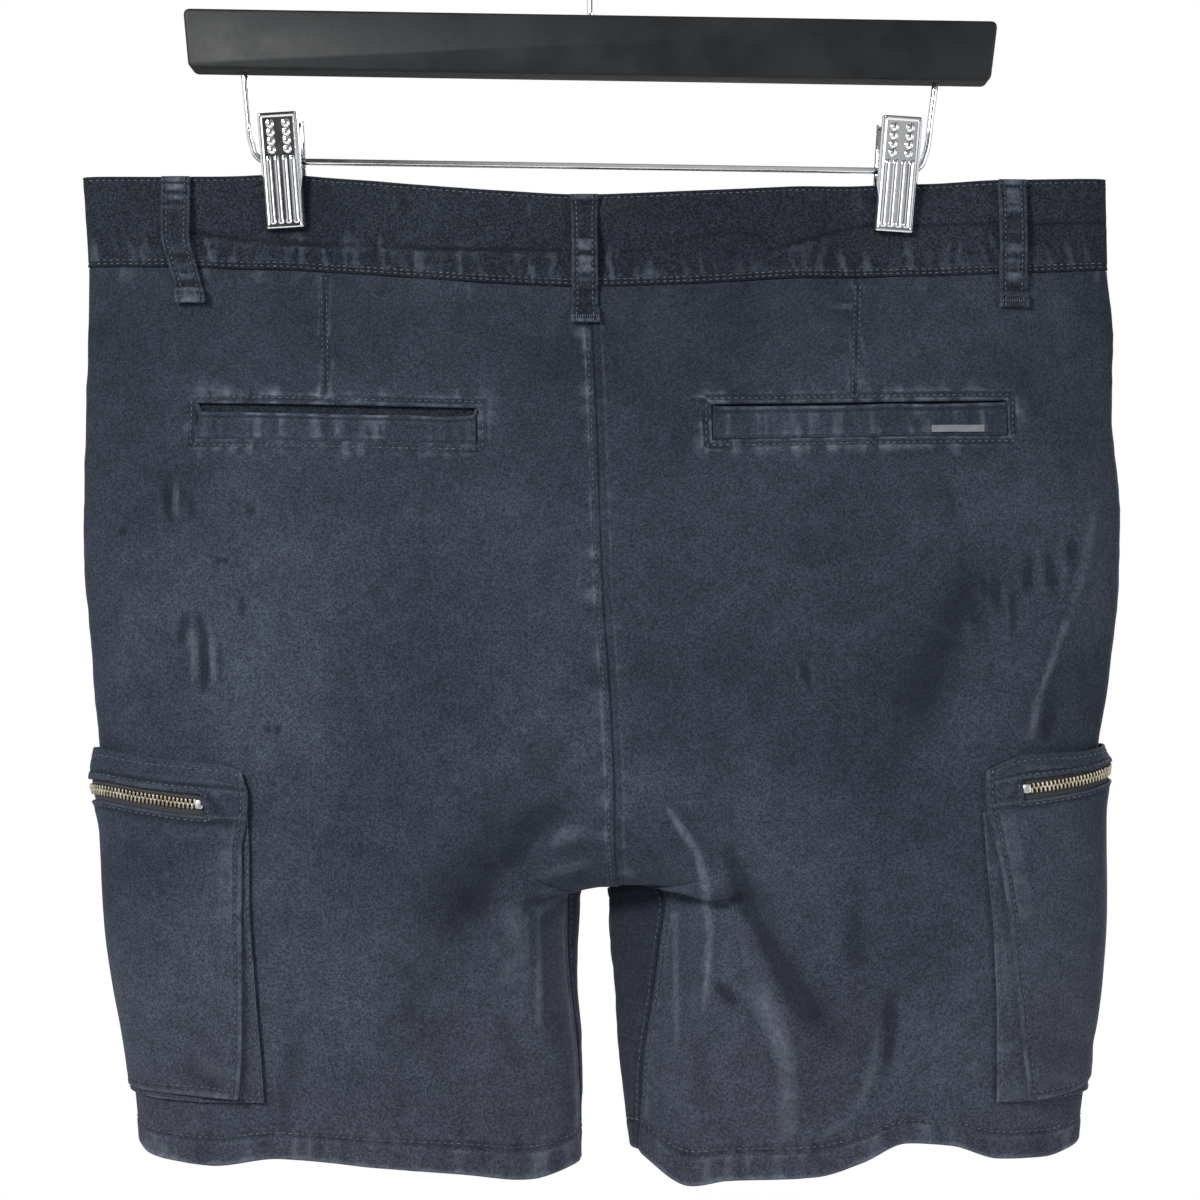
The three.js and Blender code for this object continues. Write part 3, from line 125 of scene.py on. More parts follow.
def light_the_studio():
    middle = (0, 0, -0.40)
    soft_lamp("key", (-0.95, -1.3, 0.4), middle, 0.45, 38)
    soft_lamp("fill", (1.6, -1.3, -0.3), middle, 1.2, 15)
    soft_lamp("front_key", (1.2, 1.4, 0.7), middle, 0.8, 40)
    world = bpy.data.worlds.new("studio")
    bpy.context.scene.world = world
    world.use_nodes = True
    tree = world.node_tree
    tree.nodes.clear()
    out = tree.nodes.new("ShaderNodeOutputWorld")
    mix = tree.nodes.new("ShaderNodeMixShader")
    seen = tree.nodes.new("ShaderNodeBackground")
    around = tree.nodes.new("ShaderNodeBackground")
    ray = tree.nodes.new("ShaderNodeLightPath")
    seen.inputs["Color"].default_value = (1, 1, 1, 1)
    seen.inputs["Strength"].default_value = 1.0
    around.inputs["Color"].default_value = (0.96, 0.98, 1, 1)
    around.inputs["Strength"].default_value = 0.34
    mirrored = tree.nodes.new("ShaderNodeBackground")
    glints = tree.nodes.new("ShaderNodeMixShader")
    tree.links.new(room_bands(tree), mirrored.inputs["Color"])
    tree.links.new(ray.outputs["Is Glossy Ray"], glints.inputs[0])
    tree.links.new(around.outputs[0], glints.inputs[1])
    tree.links.new(mirrored.outputs[0], glints.inputs[2])
    tree.links.new(ray.outputs["Is Camera Ray"], mix.inputs[0])
    tree.links.new(glints.outputs[0], mix.inputs[1])
    tree.links.new(seen.outputs[0], mix.inputs[2])
    tree.links.new(mix.outputs[0], out.inputs[0])
    bpy.context.scene.view_settings.view_transform = "Standard"


# Small sums on arrays
def lerp(a, b, k):
    return a + (b - a) * k


def smooth(k):
    held = np.clip(k, 0, 1)
    return held * held * (3 - 2 * held)


def hump(off, width):
    return np.exp(-((off / width) ** 2))


def unit(vectors):
    return vectors / np.maximum(np.linalg.norm(vectors, axis=-1, keepdims=True), 1e-9)


def table(names, rows):
    return {name: np.array([row[i] for row in rows], float) for i, name in enumerate(names)}


def follow(rows, key, column, at):
    """A smooth line through one column of a table, that never swings past its rows."""
    keys = rows[key]
    values = rows[column]
    at = np.clip(at, keys[0], keys[-1])
    i = np.clip(np.searchsorted(keys, at) - 1, 0, len(keys) - 2)
    spans = np.diff(keys)
    slopes = np.diff(values) / spans
    before, after = slopes[:-1], slopes[1:]
    both = before + after
    even = np.where(before * after > 0, 2 * before * after / np.where(both == 0, 1, both), 0)
    bends = np.concatenate([slopes[:1], even, slopes[-1:]])
    span = spans[i]
    k = (at - keys[i]) / span
    start = (1 + 2 * k) * (1 - k) ** 2 * values[i] + k * (1 - k) ** 2 * span * bends[i]
    return start + k * k * (3 - 2 * k) * values[i + 1] + k * k * (k - 1) * span * bends[i + 1]


LATTICE = 61


def noise(x, y, size, seed):
    """Smooth heights from -1 to 1, about one swing in each size."""
    draws = np.random.default_rng(seed).uniform(-1, 1, (LATTICE, LATTICE))
    gx = np.asarray(x, float) / size + 7 * LATTICE
    gy = np.asarray(y, float) / size + 7 * LATTICE
    i, j = np.floor(gx).astype(int), np.floor(gy).astype(int)
    sx, sy = smooth(gx - i), smooth(gy - j)
    a = lerp(draws[i % LATTICE, j % LATTICE], draws[(i + 1) % LATTICE, j % LATTICE], sx)
    b = lerp(draws[i % LATTICE, (j + 1) % LATTICE], draws[(i + 1) % LATTICE, (j + 1) % LATTICE], sx)
    return lerp(a, b, sy)


def measured(path):
    steps = np.hypot(np.hypot(np.diff(path["x"]), np.diff(path["y"])), np.diff(path["drop"]))
    return {**path, "along": np.concatenate([[0], np.cumsum(steps)])}


def along_line(x, drop, line):
    """How far points lie off a broken line, on which side, and the length along it."""
    off = np.full(np.shape(x), 1e6)
    run = np.zeros(np.shape(x))
    start = 0.0
    for (xa, da), (xb, db) in zip(line, line[1:]):
        length = math.hypot(xb - xa, db - da)
        k = ((x - xa) * (xb - xa) + (drop - da) * (db - da)) / length ** 2
        near = np.clip(k, 0, 1)
        here = np.hypot(x - xa - near * (xb - xa), drop - da - near * (db - da))
        closer = here < off
        off = np.where(closer, here, off)
        run = np.where(closer, start + near * length, run)
        start += length
    return off, run


# Form of the garment. Waist: height of the waistband's top edge and of the seam under it.
WAIST = table(["x", "top", "seam"], [
    [-234, 158.6, 200.2],
    [-190, 159.5, 201.0],
    [-144, 157.4, 201.4],
    [-90, 162.6, 205.6],
    [-40, 166.0, 208.7],
    [-5, 167.6, 210.0],
    [45, 166.0, 208.7],
    [95, 164.0, 206.0],
    [140, 162.0, 204.6],
    [190, 160.9, 204.0],
    [235, 159.5, 201.6],
])

# Level sections: left and right edges, and how far the back and the front stand from the middle plane
SECTIONS = table(["drop", "left", "right", "back", "front"], [
    [158, -233.9, 234.4, -9.0, 8.0],
    [200, -231.3, 235.2, -9.5, 8.5],
    [235, -231.6, 238.1, -14.0, 12.5],
    [270, -232.1, 237.1, -19.5, 17.5],
    [315, -233.0, 240.8, -25.5, 22.5],
    [345, -232.1, 239.9, -28.0, 25.0],
    [380, -229.3, 236.2, -30.5, 27.5],
    [417, -226.6, 231.6, -32.5, 29.5],
    [454, -220.0, 228.5, -34.0, 31.0],
    [490, -218.0, 228.5, -34.0, 32.0],
    [527, -215.0, 228.0, -33.0, 31.0],
    [564, -211.0, 225.5, -31.5, 30.0],
    [606, -208.0, 222.0, -30.0, 28.0],
])
ROUNDNESS = 0.82
CENTRE_SHARE = {"back": 0.88, "front": 0.92}
SEAM_REACH = 0.32
TURN_REACH = 0.045

# Centre seams, and their turn under the body to the crotch point
CENTRE = table(["drop", "x"], [[205, -1.8], [262, 1.2], [350, 4.4], [413, 8.6], [470, 10.4]])
CROTCH_POINT = [11, 13, 482]
CROTCH_TURN = {
    "back": [[9.6, -27.5, 461], [10.6, -19.5, 475.5], [11, -8, 482.6], [11, 3, 484], CROTCH_POINT],
    "front": [[9.4, 27.4, 450], [10.2, 25, 466], [10.8, 19.5, 477.5], CROTCH_POINT],
}

# Inseams, and how far each leg's back and front lean over beside them
LEG = {
    "left": table(["drop", "x", "y", "back", "front"], [
        [476, -6, 11, 0, 0],
        [484, -9, 10, 0.2, 0.4],
        [492, -12.5, 9, 0.4, 1.6],
        [510, -12.5, 6, 0.4, 1.4],
        [530, -11, 4, 0.3, 1.0],
        [565, -7.5, 2, 0.15, 0.5],
        [606, -6, 0, 0.1, 0.1],
    ]),
    "right": table(["drop", "x", "y", "back", "front"], [
        [476, 20, 10, 0, 0],
        [484, 27, 8, -0.9, -1.2],
        [492, 33, 6, -1.9, -4.6],
        [510, 30.5, 3, -2.0, -3.9],
        [530, 28, 1, -1.6, -3.1],
        [565, 23, -2, -0.95, -1.9],
        [606, 21.2, -4, -0.4, -0.8],
    ]),
}

# Hem wave along each leg, back and front
HEM = {
    "left": table(["x", "back", "front"], [
        [-209, 599, 598],
        [-201, 603.5, 602],
        [-190, 605, 603],
        [-172, 606, 605],
        [-140, 601.5, 606],
        [-100, 605, 602],
        [-60, 609, 604],
        [-28, 613, 610],
        [-6, 609, 609],
    ]),
    "right": table(["x", "back", "front"], [
        [21, 604, 604],
        [43, 616, 608],
        [60, 612.5, 604],
        [100, 609.5, 601],
        [120, 603, 605],
        [140, 594.5, 603],
        [160, 596, 598],
        [182, 602.5, 600],
        [203, 603, 602],
        [214, 601, 600],
        [223, 598.5, 598],
    ]),
}

# The clips pinch the waistband here
GRIPS = [-143.9 - 0.75 * 51.6 * math.sin(math.radians(-3.6)), 140.8 - 0.75 * 51.6 * math.sin(math.radians(4.0))]
PINCH = {"flat": 15, "reach": 34, "half": 1.7, "level": 188, "fade": 80}

# Folds and creases: from one end to the other, half width, height out of the cloth
FOLD_COLUMNS = ["x0", "drop0", "x1", "drop1", "width", "height"]
FOLDS = {
    ("left", "back"): [
        [-16, 440, -74, 540, 15, -5],
        [-31, 470, -42, 500, 11, 3.5],
        [-42, 500, -22, 560, 11, 3],
        [-70, 545, -58, 600, 14, -3],
        [-150, 300, -118, 400, 26, 2.5],
        [-196, 310, -170, 400, 12, -2],
    ],
    ("left", "front"): [
        [-16, 430, -90, 520, 17, -5],
        [-40, 470, -60, 560, 13, 4],
        [-150, 300, -110, 410, 24, -3],
        [-110, 520, -96, 600, 15, -3],
    ],
    ("right", "back"): [
        [63, 445, 80, 545, 12, -5.5],
        [50, 480, 54, 540, 8, 3.5],
        [70, 478, 94, 590, 12, 3],
        [196, 330, 132, 450, 26, -4],
        [224, 325, 198, 420, 11, 3],
        [42, 272, 124, 224, 10, 2.5],
        [136, 520, 116, 592, 10, -3.5],
    ],
    ("right", "front"): [
        [26, 430, 96, 515, 17, -5],
        [52, 470, 74, 575, 13, 4],
        [160, 310, 120, 420, 24, -3],
        [150, 530, 128, 600, 14, -3],
    ],
}
CREASES = {
    ("left", "back"): [
        [-192, 301, -191, 316, 2.6, -1.5],
        [-188, 301, -188, 314, 2.2, 0.8],
        [-182, 305, -179, 318, 3, -0.6],
        [-183, 359, -185, 372, 2.6, -1.2],
        [-177, 359, -174, 371, 2.4, -1.2],
        [-174, 371, -174, 392, 2.6, -1.7],
        [-170, 371, -169, 388, 2.2, 0.9],
        [-180, 368, -178, 386, 2.6, 0.9],
        [-157, 351, -156, 359, 2.4, -0.9],
        [-154, 311, -153, 315, 2, -0.8],
        [-168, 333, -167, 337, 1.8, -0.8],
        [-164, 333, -164, 337, 1.8, -0.8],
        [-212, 320, -212, 324, 2, -0.8],
        [-145, 408, -145, 412, 2, -0.8],
        [-141, 408, -140, 413, 2, -0.9],
        [-26, 493, -25, 544, 2, 0.8],
        [-38, 486, -29, 517, 7, 1.6],
        [-29, 517, -19, 544, 7, 1.3],
        [-14, 441, -41, 472, 9, -1.8],
        [-41, 472, -59, 498, 10, -1.4],
        [1, 468, -26, 477, 5, 0.8],
        [-1, 455, -24, 461, 6, 0.7],
        [-17, 488, -28, 497, 4, 0.9],
        [-41, 535, -30, 571, 8, -1.0],
        [-77, 548, -62, 589, 9, 0.8],
        [-130, 535, -139, 575, 10, -0.8],
    ],
    ("right", "back"): [
        [196, 337, 195, 348, 3, -1.5],
        [205, 335, 207, 348, 3, -1.5],
        [200.5, 331, 201, 345, 2.6, 0.8],
        [216, 325, 216, 335, 3, -1.2],
        [211, 328, 212, 344, 2.6, 0.7],
        [184, 342, 186, 363, 2.4, 0.8],
        [181, 342, 181, 353, 2.4, -0.9],
        [176, 345, 176, 351, 2.2, -0.8],
        [188, 353, 188, 367, 2.6, -0.7],
        [168, 362, 168, 371, 3, 0.6],
        [227, 310, 222, 335, 3.4, 0.8],
        [222, 335, 215, 355, 3.6, 0.8],
        [214, 359, 208, 372, 3, 0.7],
        [208, 372, 199, 397, 2.8, 0.8],
        [199, 397, 195, 415, 2.8, 0.8],
        [206, 398, 202, 418, 5, -1.2],
        [174, 337, 158, 367, 12, -1.6],
        [158, 367, 140, 412, 12, -1.8],
        [94, 381, 95, 390, 2, -1.0],
        [61, 468, 71, 498, 6, -2.0],
        [71, 498, 101, 544, 9, -1.8],
        [61, 486, 74, 517, 6, 1.4],
        [74, 517, 86, 557, 7, 1.6],
        [86, 557, 86, 595, 7, 1.2],
        [129, 541, 126, 559, 4, 0.8],
        [126, 559, 117, 581, 4, 0.9],
        [117, 581, 101, 592, 4, 0.7],
        [133, 530, 130, 562, 5, -1.6],
        [118, 484, 118, 517, 8, -1.4],
        [127, 477, 122, 513, 9, 1.2],
        [38, 498, 38, 557, 2.4, 0.7],
        [53, 524, 65, 535, 4, -1.2],
        [47, 548, 50, 584, 8, -0.8],
        [110, 219, 123, 218, 2, 0.8],
        [156, 294, 162, 317, 5, -0.6],
        [35, 448, 47, 466, 3.4, 0.8],
        [47, 466, 51, 483, 3.2, 0.9],
        [51, 483, 53, 503, 3.2, 0.9],
        [53, 503, 50, 537, 3.4, 0.7],
    ],
    ("left", "front"): [
        [-20, 445, -48, 478, 9, -1.8],
        [-24, 462, -40, 500, 5, 1.2],
        [-60, 500, -50, 560, 6, 1.0],
        [-180, 330, -176, 372, 3, -1.1],
        [-190, 352, -188, 372, 3, -1.0],
        [-150, 250, -120, 300, 8, 1.0],
        [-80, 240, -30, 262, 6, -0.9],
    ],
    ("right", "front"): [
        [28, 444, 58, 476, 9, -1.8],
        [34, 462, 50, 502, 5, 1.2],
        [66, 500, 56, 570, 6, 1.0],
        [186, 322, 190, 360, 3, -1.1],
        [200, 340, 198, 366, 3, 1.0],
        [160, 246, 122, 304, 8, 1.0],
        [84, 238, 44, 256, 6, -0.9],
    ],
}
FOLD_FADE = 0.06
CROTCH_ROW = (CROTCH_LEVEL - SEAM_LEVEL) / PANEL_HEIGHT
SEAT_ROW = (SEAT_LEVEL - SEAM_LEVEL) / PANEL_HEIGHT


def centre_seam(face):
    def at(level, drop):
        return [follow(CENTRE, "drop", "x", level), CENTRE_SHARE[face] * follow(SECTIONS, "drop", face, level), drop]

    top = at(SEAM_LEVEL, follow(WAIST, "x", "seam", CENTRE["x"][0]))
    rows = [at(drop, drop) for drop in (235, 270, 310, 350, 385, SEAT_LEVEL, 440)]
    return measured(table(["x", "y", "drop"], [top, *rows, *CROTCH_TURN[face]]))


def seat_times(path):
    seat = path["along"][list(path["drop"]).index(SEAT_LEVEL)]
    return table(["row", "along"], [[0, 0], [SEAT_ROW, seat], [CROTCH_ROW, path["along"][-1]]])


def inseam(side):
    leg = LEG[side]
    rows = [[leg["x"][i], leg["y"][i], leg["drop"][i]] for i in range(1, len(leg["x"]))]
    rows[-1][2] = follow(HEM[side], "x", "back", rows[-1][0])
    return measured(table(["x", "y", "drop"], [CROTCH_POINT, *rows]))


CENTRE_SEAM = {face: centre_seam(face) for face in ("back", "front")}
SEAT_TIMES = {face: seat_times(CENTRE_SEAM[face]) for face in ("back", "front")}
INSEAM = {side: inseam(side) for side in ("left", "right")}


def inner_end(side, face, row):
    """Where a row of the cloth starts: on the centre seam, or on the inseam below the crotch."""
    seat, leg = CENTRE_SEAM[face], INSEAM[side]
    seat_along = follow(SEAT_TIMES[face], "row", "along", row)
    leg_along = leg["along"][-1] * (row - CROTCH_ROW) / (1 - CROTCH_ROW)
    above = row <= CROTCH_ROW
    return [
        np.where(above, follow(seat, "along", key, seat_along), follow(leg, "along", key, leg_along))
        for key in ("x", "y", "drop")
    ]


def torso_section(inner, outer, depth, share, t):
    middle = (inner + outer) / 2
    angle = np.maximum(0, t - 0.5) * math.pi
    full = np.maximum(0, np.cos(angle)) ** ROUNDNESS
    x = np.where(t < 0.5, lerp(inner, middle, t / 0.5), middle + (outer - middle) * np.sin(angle))
    return x, depth * np.where(t < 0.5, lerp(share, 1, smooth(t / 0.5)), full)


def leg_section(side, face, level, outer, depth, t):
    leg = LEG[side]
    inner_x = follow(leg, "drop", "x", level)
    inner_y = follow(leg, "drop", "y", level)
    lean = follow(leg, "drop", face, level)
    angle = t * math.pi
    across = (1 - np.cos(angle)) / 2
    chord = inner_y * (1 - across)
    y = chord + (depth - chord) * np.maximum(0, np.sin(angle)) ** ROUNDNESS
    fall = np.maximum(0, 1 - 2 * t) ** 2
    return lerp(inner_x, outer, across) + lean * (y - chord) * fall, y


def pinched(x, y, drop):
    nearest = np.minimum(np.abs(x - GRIPS[0]), np.abs(x - GRIPS[1]))
    hold = 1 - smooth((nearest - PINCH["flat"]) / PINCH["reach"])
    fade = 1 - smooth((drop - PINCH["level"]) / PINCH["fade"])
    return lerp(y, np.sign(y) * np.minimum(PINCH["half"], np.abs(y)), hold * fade)


# The seat hangs over the turn into each leg beside the crotch: how far, and where across the back
OVERHANG = {
    "left": {"fall": 7, "from": 0.02, "full": 0.13, "end": 0.34},
    "right": {"fall": 6.5, "from": 0.02, "full": 0.17, "end": 0.36},
}
OVERHANG_REACH = 0.035


def overhang(side, face, row, t):
    if face == "front":
        return 0 * t
    o = OVERHANG[side]
    across = smooth((t - o["from"]) / (o["full"] - o["from"]))
    across = across * (1 - smooth((t - o["full"]) / (o["end"] - o["full"])))
    return o["fall"] * across * hump(row - CROTCH_ROW, OVERHANG_REACH)


def plain_point(side, face, row, t):
    """The plain cloth. Rows run from -1 at the waist top and 0 at the waist seam to 1 at the hem."""
    below = np.maximum(0, row)
    level = np.where(row < 0, lerp(SEAM_LEVEL, WAIST_TOP, -row), lerp(SEAM_LEVEL, HEM_LEVEL, row))
    outer = follow(SECTIONS, "drop", side, level)
    depth = follow(SECTIONS, "drop", face, level)
    end_x = inner_end(side, face, below)[0]
    torso_x, torso_y = torso_section(end_x, outer, depth, CENTRE_SHARE[face], t)
    leg_x, leg_y = leg_section(side, face, level, outer, depth, t)
    turn = smooth((below - CROTCH_ROW) / (2 * TURN_REACH) + 0.5)
    x, y = lerp(torso_x, leg_x, turn), lerp(torso_y, leg_y, turn)
    seam = follow(WAIST, "x", "seam", x)
    sag = (seam - SEAM_LEVEL) * (1 - smooth(below / 0.3))
    wave = (follow(HEM[side], "x", face, x) - HEM_LEVEL) * smooth((below - 0.9) / 0.1)
    hung = level + sag + wave + overhang(side, face, below, t)
    drop = np.where(row < 0, lerp(seam, follow(WAIST, "x", "top", x), -row), hung)
    return np.stack([x, pinched(x, y, drop), -drop], axis=-1)


STEPS = 72


def drawn_point(side, face, row, t):
    """The plain cloth with its inner end drawn to the seam that it is sewn into."""
    point = plain_point(side, face, row, t)
    end = inner_end(side, face, np.maximum(0, row))
    seam = np.stack([end[0], end[1], -end[2]], axis=-1)
    pull = np.where((row < 0)[..., None], 0, seam - plain_point(side, face, row, np.zeros_like(row)))
    return point + pull * (1 - smooth(t / SEAM_REACH))[..., None]


def base_points(side, face, rows, us):
    """Points at rows, one to each line of us, where us are shares of the row's length."""
    rows = np.asarray(rows, float)[:, None]
    us = np.clip(np.broadcast_to(us, (len(rows), np.shape(us)[-1])), 0, 1)
    ts = np.linspace(0, 1, STEPS + 1)[None, :]
    line = drawn_point(side, face, rows, ts)
    steps = np.linalg.norm(np.diff(line, axis=1), axis=-1)
    lengths = np.concatenate([np.zeros((len(rows), 1)), np.cumsum(steps, axis=1)], axis=1)
    t = np.stack([np.interp(u * total[-1], total, ts[0]) for u, total in zip(us, lengths)])
    return drawn_point(side, face, np.broadcast_to(rows, t.shape), t), lengths[:, -1]


PROBE = 0.004
SEAM_ZONE = 0.03
OTHER_SIDE = {"left": "right", "right": "left"}
OTHER_FACE = {"back": "front", "front": "back"}


def own_normals(side, face, rows, us):
    rows = np.asarray(rows, float)
    us = np.broadcast_to(us, (len(rows), np.shape(us)[-1]))
    low = np.where(rows < 0, -1, 0)
    high = np.where(rows < 0, 0, 1)
    across = base_points(side, face, rows, us + PROBE)[0] - base_points(side, face, rows, us - PROBE)[0]
    upper = base_points(side, face, np.maximum(low, rows - PROBE), us)[0]
    lower = base_points(side, face, np.minimum(high - 1e-9 * (rows < 0), rows + PROBE), us)[0]
    sign = (1 if side == "right" else -1) * (1 if face == "back" else -1)
    return unit(np.cross(lower - upper, across)) * sign


def cloth_normals(side, face, rows, us):
    own = own_normals(side, face, rows, us)
    rows = np.asarray(rows, float)
    us = np.broadcast_to(us, own.shape[:2])
    ends = {}
    for end, us_end in ((0, np.zeros(1)), (1, np.ones(1))):
        here = own_normals(side, face, rows, us_end)
        across_seam = own_normals(side, OTHER_FACE[face], rows, us_end)
        if end == 0:
            middle = own_normals(OTHER_SIDE[side], face, rows, us_end)
            across_seam = np.where((rows < CROTCH_ROW)[:, None, None], middle, across_seam)
        ends[end] = unit(here + across_seam)
    shared = np.where((us < 0.5)[..., None], ends[0], ends[1])
    keep = smooth(np.minimum(us, 1 - us) / SEAM_ZONE)[..., None]
    return unit(lerp(shared, own, keep))


def fold_height(folds, x, drop):
    height = np.zeros(np.shape(x))
    for fold in folds:
        f = dict(zip(FOLD_COLUMNS, fold))
        run_x, run_drop = f["x1"] - f["x0"], f["drop1"] - f["drop0"]
        k = ((x - f["x0"]) * run_x + (drop - f["drop0"]) * run_drop) / (run_x ** 2 + run_drop ** 2)
        near = np.clip(k, 0, 1)
        off = np.hypot(x - f["x0"] - near * run_x, drop - f["drop0"] - near * run_drop)
        taper = 0.35 + 0.65 * np.sin(math.pi * near)
        height += f["height"] * taper * hump(off, f["width"])
    return height


def inside_seams(rows, us):
    down = smooth(rows / FOLD_FADE) * smooth((1 - rows) / FOLD_FADE)
    return down[:, None] * smooth(us / FOLD_FADE) * smooth((1 - us) / FOLD_FADE)


def cloth_points(side, face, rows, us, lift=0.0):
    """Points and outward directions of the cloth with its large folds, stood off by a lift."""
    base, _ = base_points(side, face, rows, us)
    normals = cloth_normals(side, face, rows, us)
    rows = np.asarray(rows, float)
    us = np.broadcast_to(us, base.shape[:2])
    folds = fold_height(FOLDS[side, face], base[..., 0], -base[..., 2])
    height = np.where((rows > 0)[:, None], folds * inside_seams(rows, us), 0) + lift
    return base + normals * height[..., None], normals


# Where things are sewn. Places on the back, in millimetres across and down.
DARTS = {
    "left": [(-123.6, 204), (-122.4, 230), (-120.7, 260)],
    "right": [(121.3, 208), (119.6, 235), (118.0, 262)],
}
WELT_POCKETS = {
    "left": {"x0": -179, "x1": -52.5, "top0": 263.5, "top1": 266, "height": 16.5, "slit": 3.4},
    "right": {"x0": 53.5, "x1": 187, "top0": 264.5, "top1": 262.5, "height": 16, "slit": 0.5},
}
BAND_CREASES = [
    [(-198, 183.8), (-156.5, 187.8), (-111, 190.6), (-65, 192.9), (-15, 193.3)],
    [(14, 194.2), (32.6, 192.4), (44, 187.8), (57.7, 185.1), (76, 186.5), (80.4, 193.3)],
    [(80.4, 193.3), (107.8, 185.1), (126, 180.5), (176, 181.2), (233, 180.2)],
]


def pocket_top(pocket, x):
    return lerp(pocket["top0"], pocket["top1"], (x - pocket["x0"]) / (pocket["x1"] - pocket["x0"]))


def welt_frame(side, margin):
    """The stitched outline round a back pocket's window."""
    pocket = WELT_POCKETS[side]
    x0, x1 = pocket["x0"] - margin, pocket["x1"] + margin
    tops = [(x, pocket_top(pocket, x) - margin) for x in np.linspace(x0, x1, 7)]
    feet = [(x, pocket_top(pocket, x) + pocket["height"] + margin) for x in np.linspace(x1, x0, 7)]
    return [*tops, *feet, tops[0]]


def puckers(x, drop, line, reach, pitch, height, seed):
    """Short ridges across a seam, strongest on it, uneven along it."""
    off, run = along_line(x, drop, line)
    strokes = noise(run, off * 0.3, pitch, seed) + 0.5 * noise(run, off * 0.4, pitch * 0.55, seed + 1)
    return height * hump(off, reach) * strokes


def seam_groove(x, drop, line, width, depth):
    off, _ = along_line(x, drop, line)
    return -depth * hump(off, width)


def crumple(x, drop, seed):
    slow = noise(x + 0.35 * drop, drop * 0.8, 38, seed) * 0.75
    middle = noise(x - 0.2 * drop, drop * 0.7, 17, seed + 1) * 0.26
    quick = noise(x, drop, 7.5, seed + 2) * 0.07
    return slow + middle + quick


def panel_relief(side, face, x, drop, rows, from_inner, from_outer):
    """Fine heights of a panel: creases, crumples, and puckers along what is sewn."""
    seed = 11 + 20 * (side == "right") + 40 * (face == "front")
    from_hem = (1 - rows)[:, None] * PANEL_HEIGHT
    from_waist = rows[:, None] * PANEL_HEIGHT
    height = fold_height(CREASES[side, face], x, drop) + crumple(x, drop, seed)
    hem_line = from_hem - HEM_DEPTH + 1.2
    strokes = noise(x, drop * 0.3, 7.5, seed + 3) + 0.6 * noise(x, drop * 0.3, 3.8, seed + 4)
    height += 0.42 * strokes * np.where(hem_line > 0, hump(hem_line, 7), hump(hem_line, 14))
    height += np.where(hem_line < 0, 0.25, 0) - 0.35 * hump(hem_line, 1.1)
    height += 0.30 * noise(x, drop * 0.3, 6.5, seed + 5) * hump(from_waist, 9)
    strokes = noise(drop, x * 0.3, 8.5, seed + 6) + 0.5 * noise(drop, x * 0.3, 4.2, seed + 7)
    height += 0.34 * strokes * hump(from_inner - 3, 7) - 0.30 * hump(from_inner - 2.6, 0.9)
    height -= 0.55 * hump(from_inner, 1.3) + 0.45 * hump(from_outer, 1.3)
    height += 0.26 * strokes * hump(from_outer, 8)
    if face == "back":
        height += puckers(x, drop, DARTS[side], 6, 6.0, 0.30, seed + 8)
        height += seam_groove(x, drop, DARTS[side], 1.0, 0.45)
        frame_line = welt_frame(side, 2.6)
        height += puckers(x, drop, frame_line, 5.5, 7.0, 0.42, seed + 9)
        height += seam_groove(x, drop, frame_line, 1.0, 0.35)
    return height


# Rubbed (light, worn) lines, and painted shade (dark) lines in the folds' hollows, on the back near the crotch: line,
# strength, half width
RUB_AND_SHADE_LINES = {
    "left": [
        ([(-14, 452), (-36, 470), (-46, 487), (-44, 505), (-36, 530), (-28, 560)], 0.22, 9),
        ([(-46, 487), (-40, 512), (-34, 540)], 0.20, 3),
        ([(-24, 425), (-50, 462), (-74, 500), (-84, 545)], -0.66, 16),
        ([(8, 482), (-20, 484), (-34, 487)], 0.24, 1.4),
        ([(-70, 545), (-58, 600)], -0.20, 12),
    ],
    "right": [
        ([(34, 446), (47, 466), (51, 483), (53, 503), (52, 520), (50, 537)], 0.42, 1.0),
        ([(43, 458), (48, 480), (47, 510), (44, 536)], 0.16, 6),
        ([(17, 477), (30, 481), (50, 486)], 0.30, 1.2),
        ([(56, 420), (59, 445), (67, 485), (78, 510), (97, 537), (107, 549)], -0.56, 10),
        ([(58, 470), (64, 505), (82, 545), (90, 590)], 0.24, 9),
        ([(38, 498), (38, 557)], 0.20, 1.6),
        ([(136, 450), (130, 500), (128, 540)], -0.16, 10),
        ([(204, 330), (180, 352), (150, 392)], -0.30, 13),
        ([(214, 352), (203, 385), (197, 412)], 0.10, 3),
    ],
}
PANEL_ROWS = 226
PANEL_COLUMNS = {"back": 126, "front": 100}
HEM_CURL = 0.8
HEM_CELLS = 6


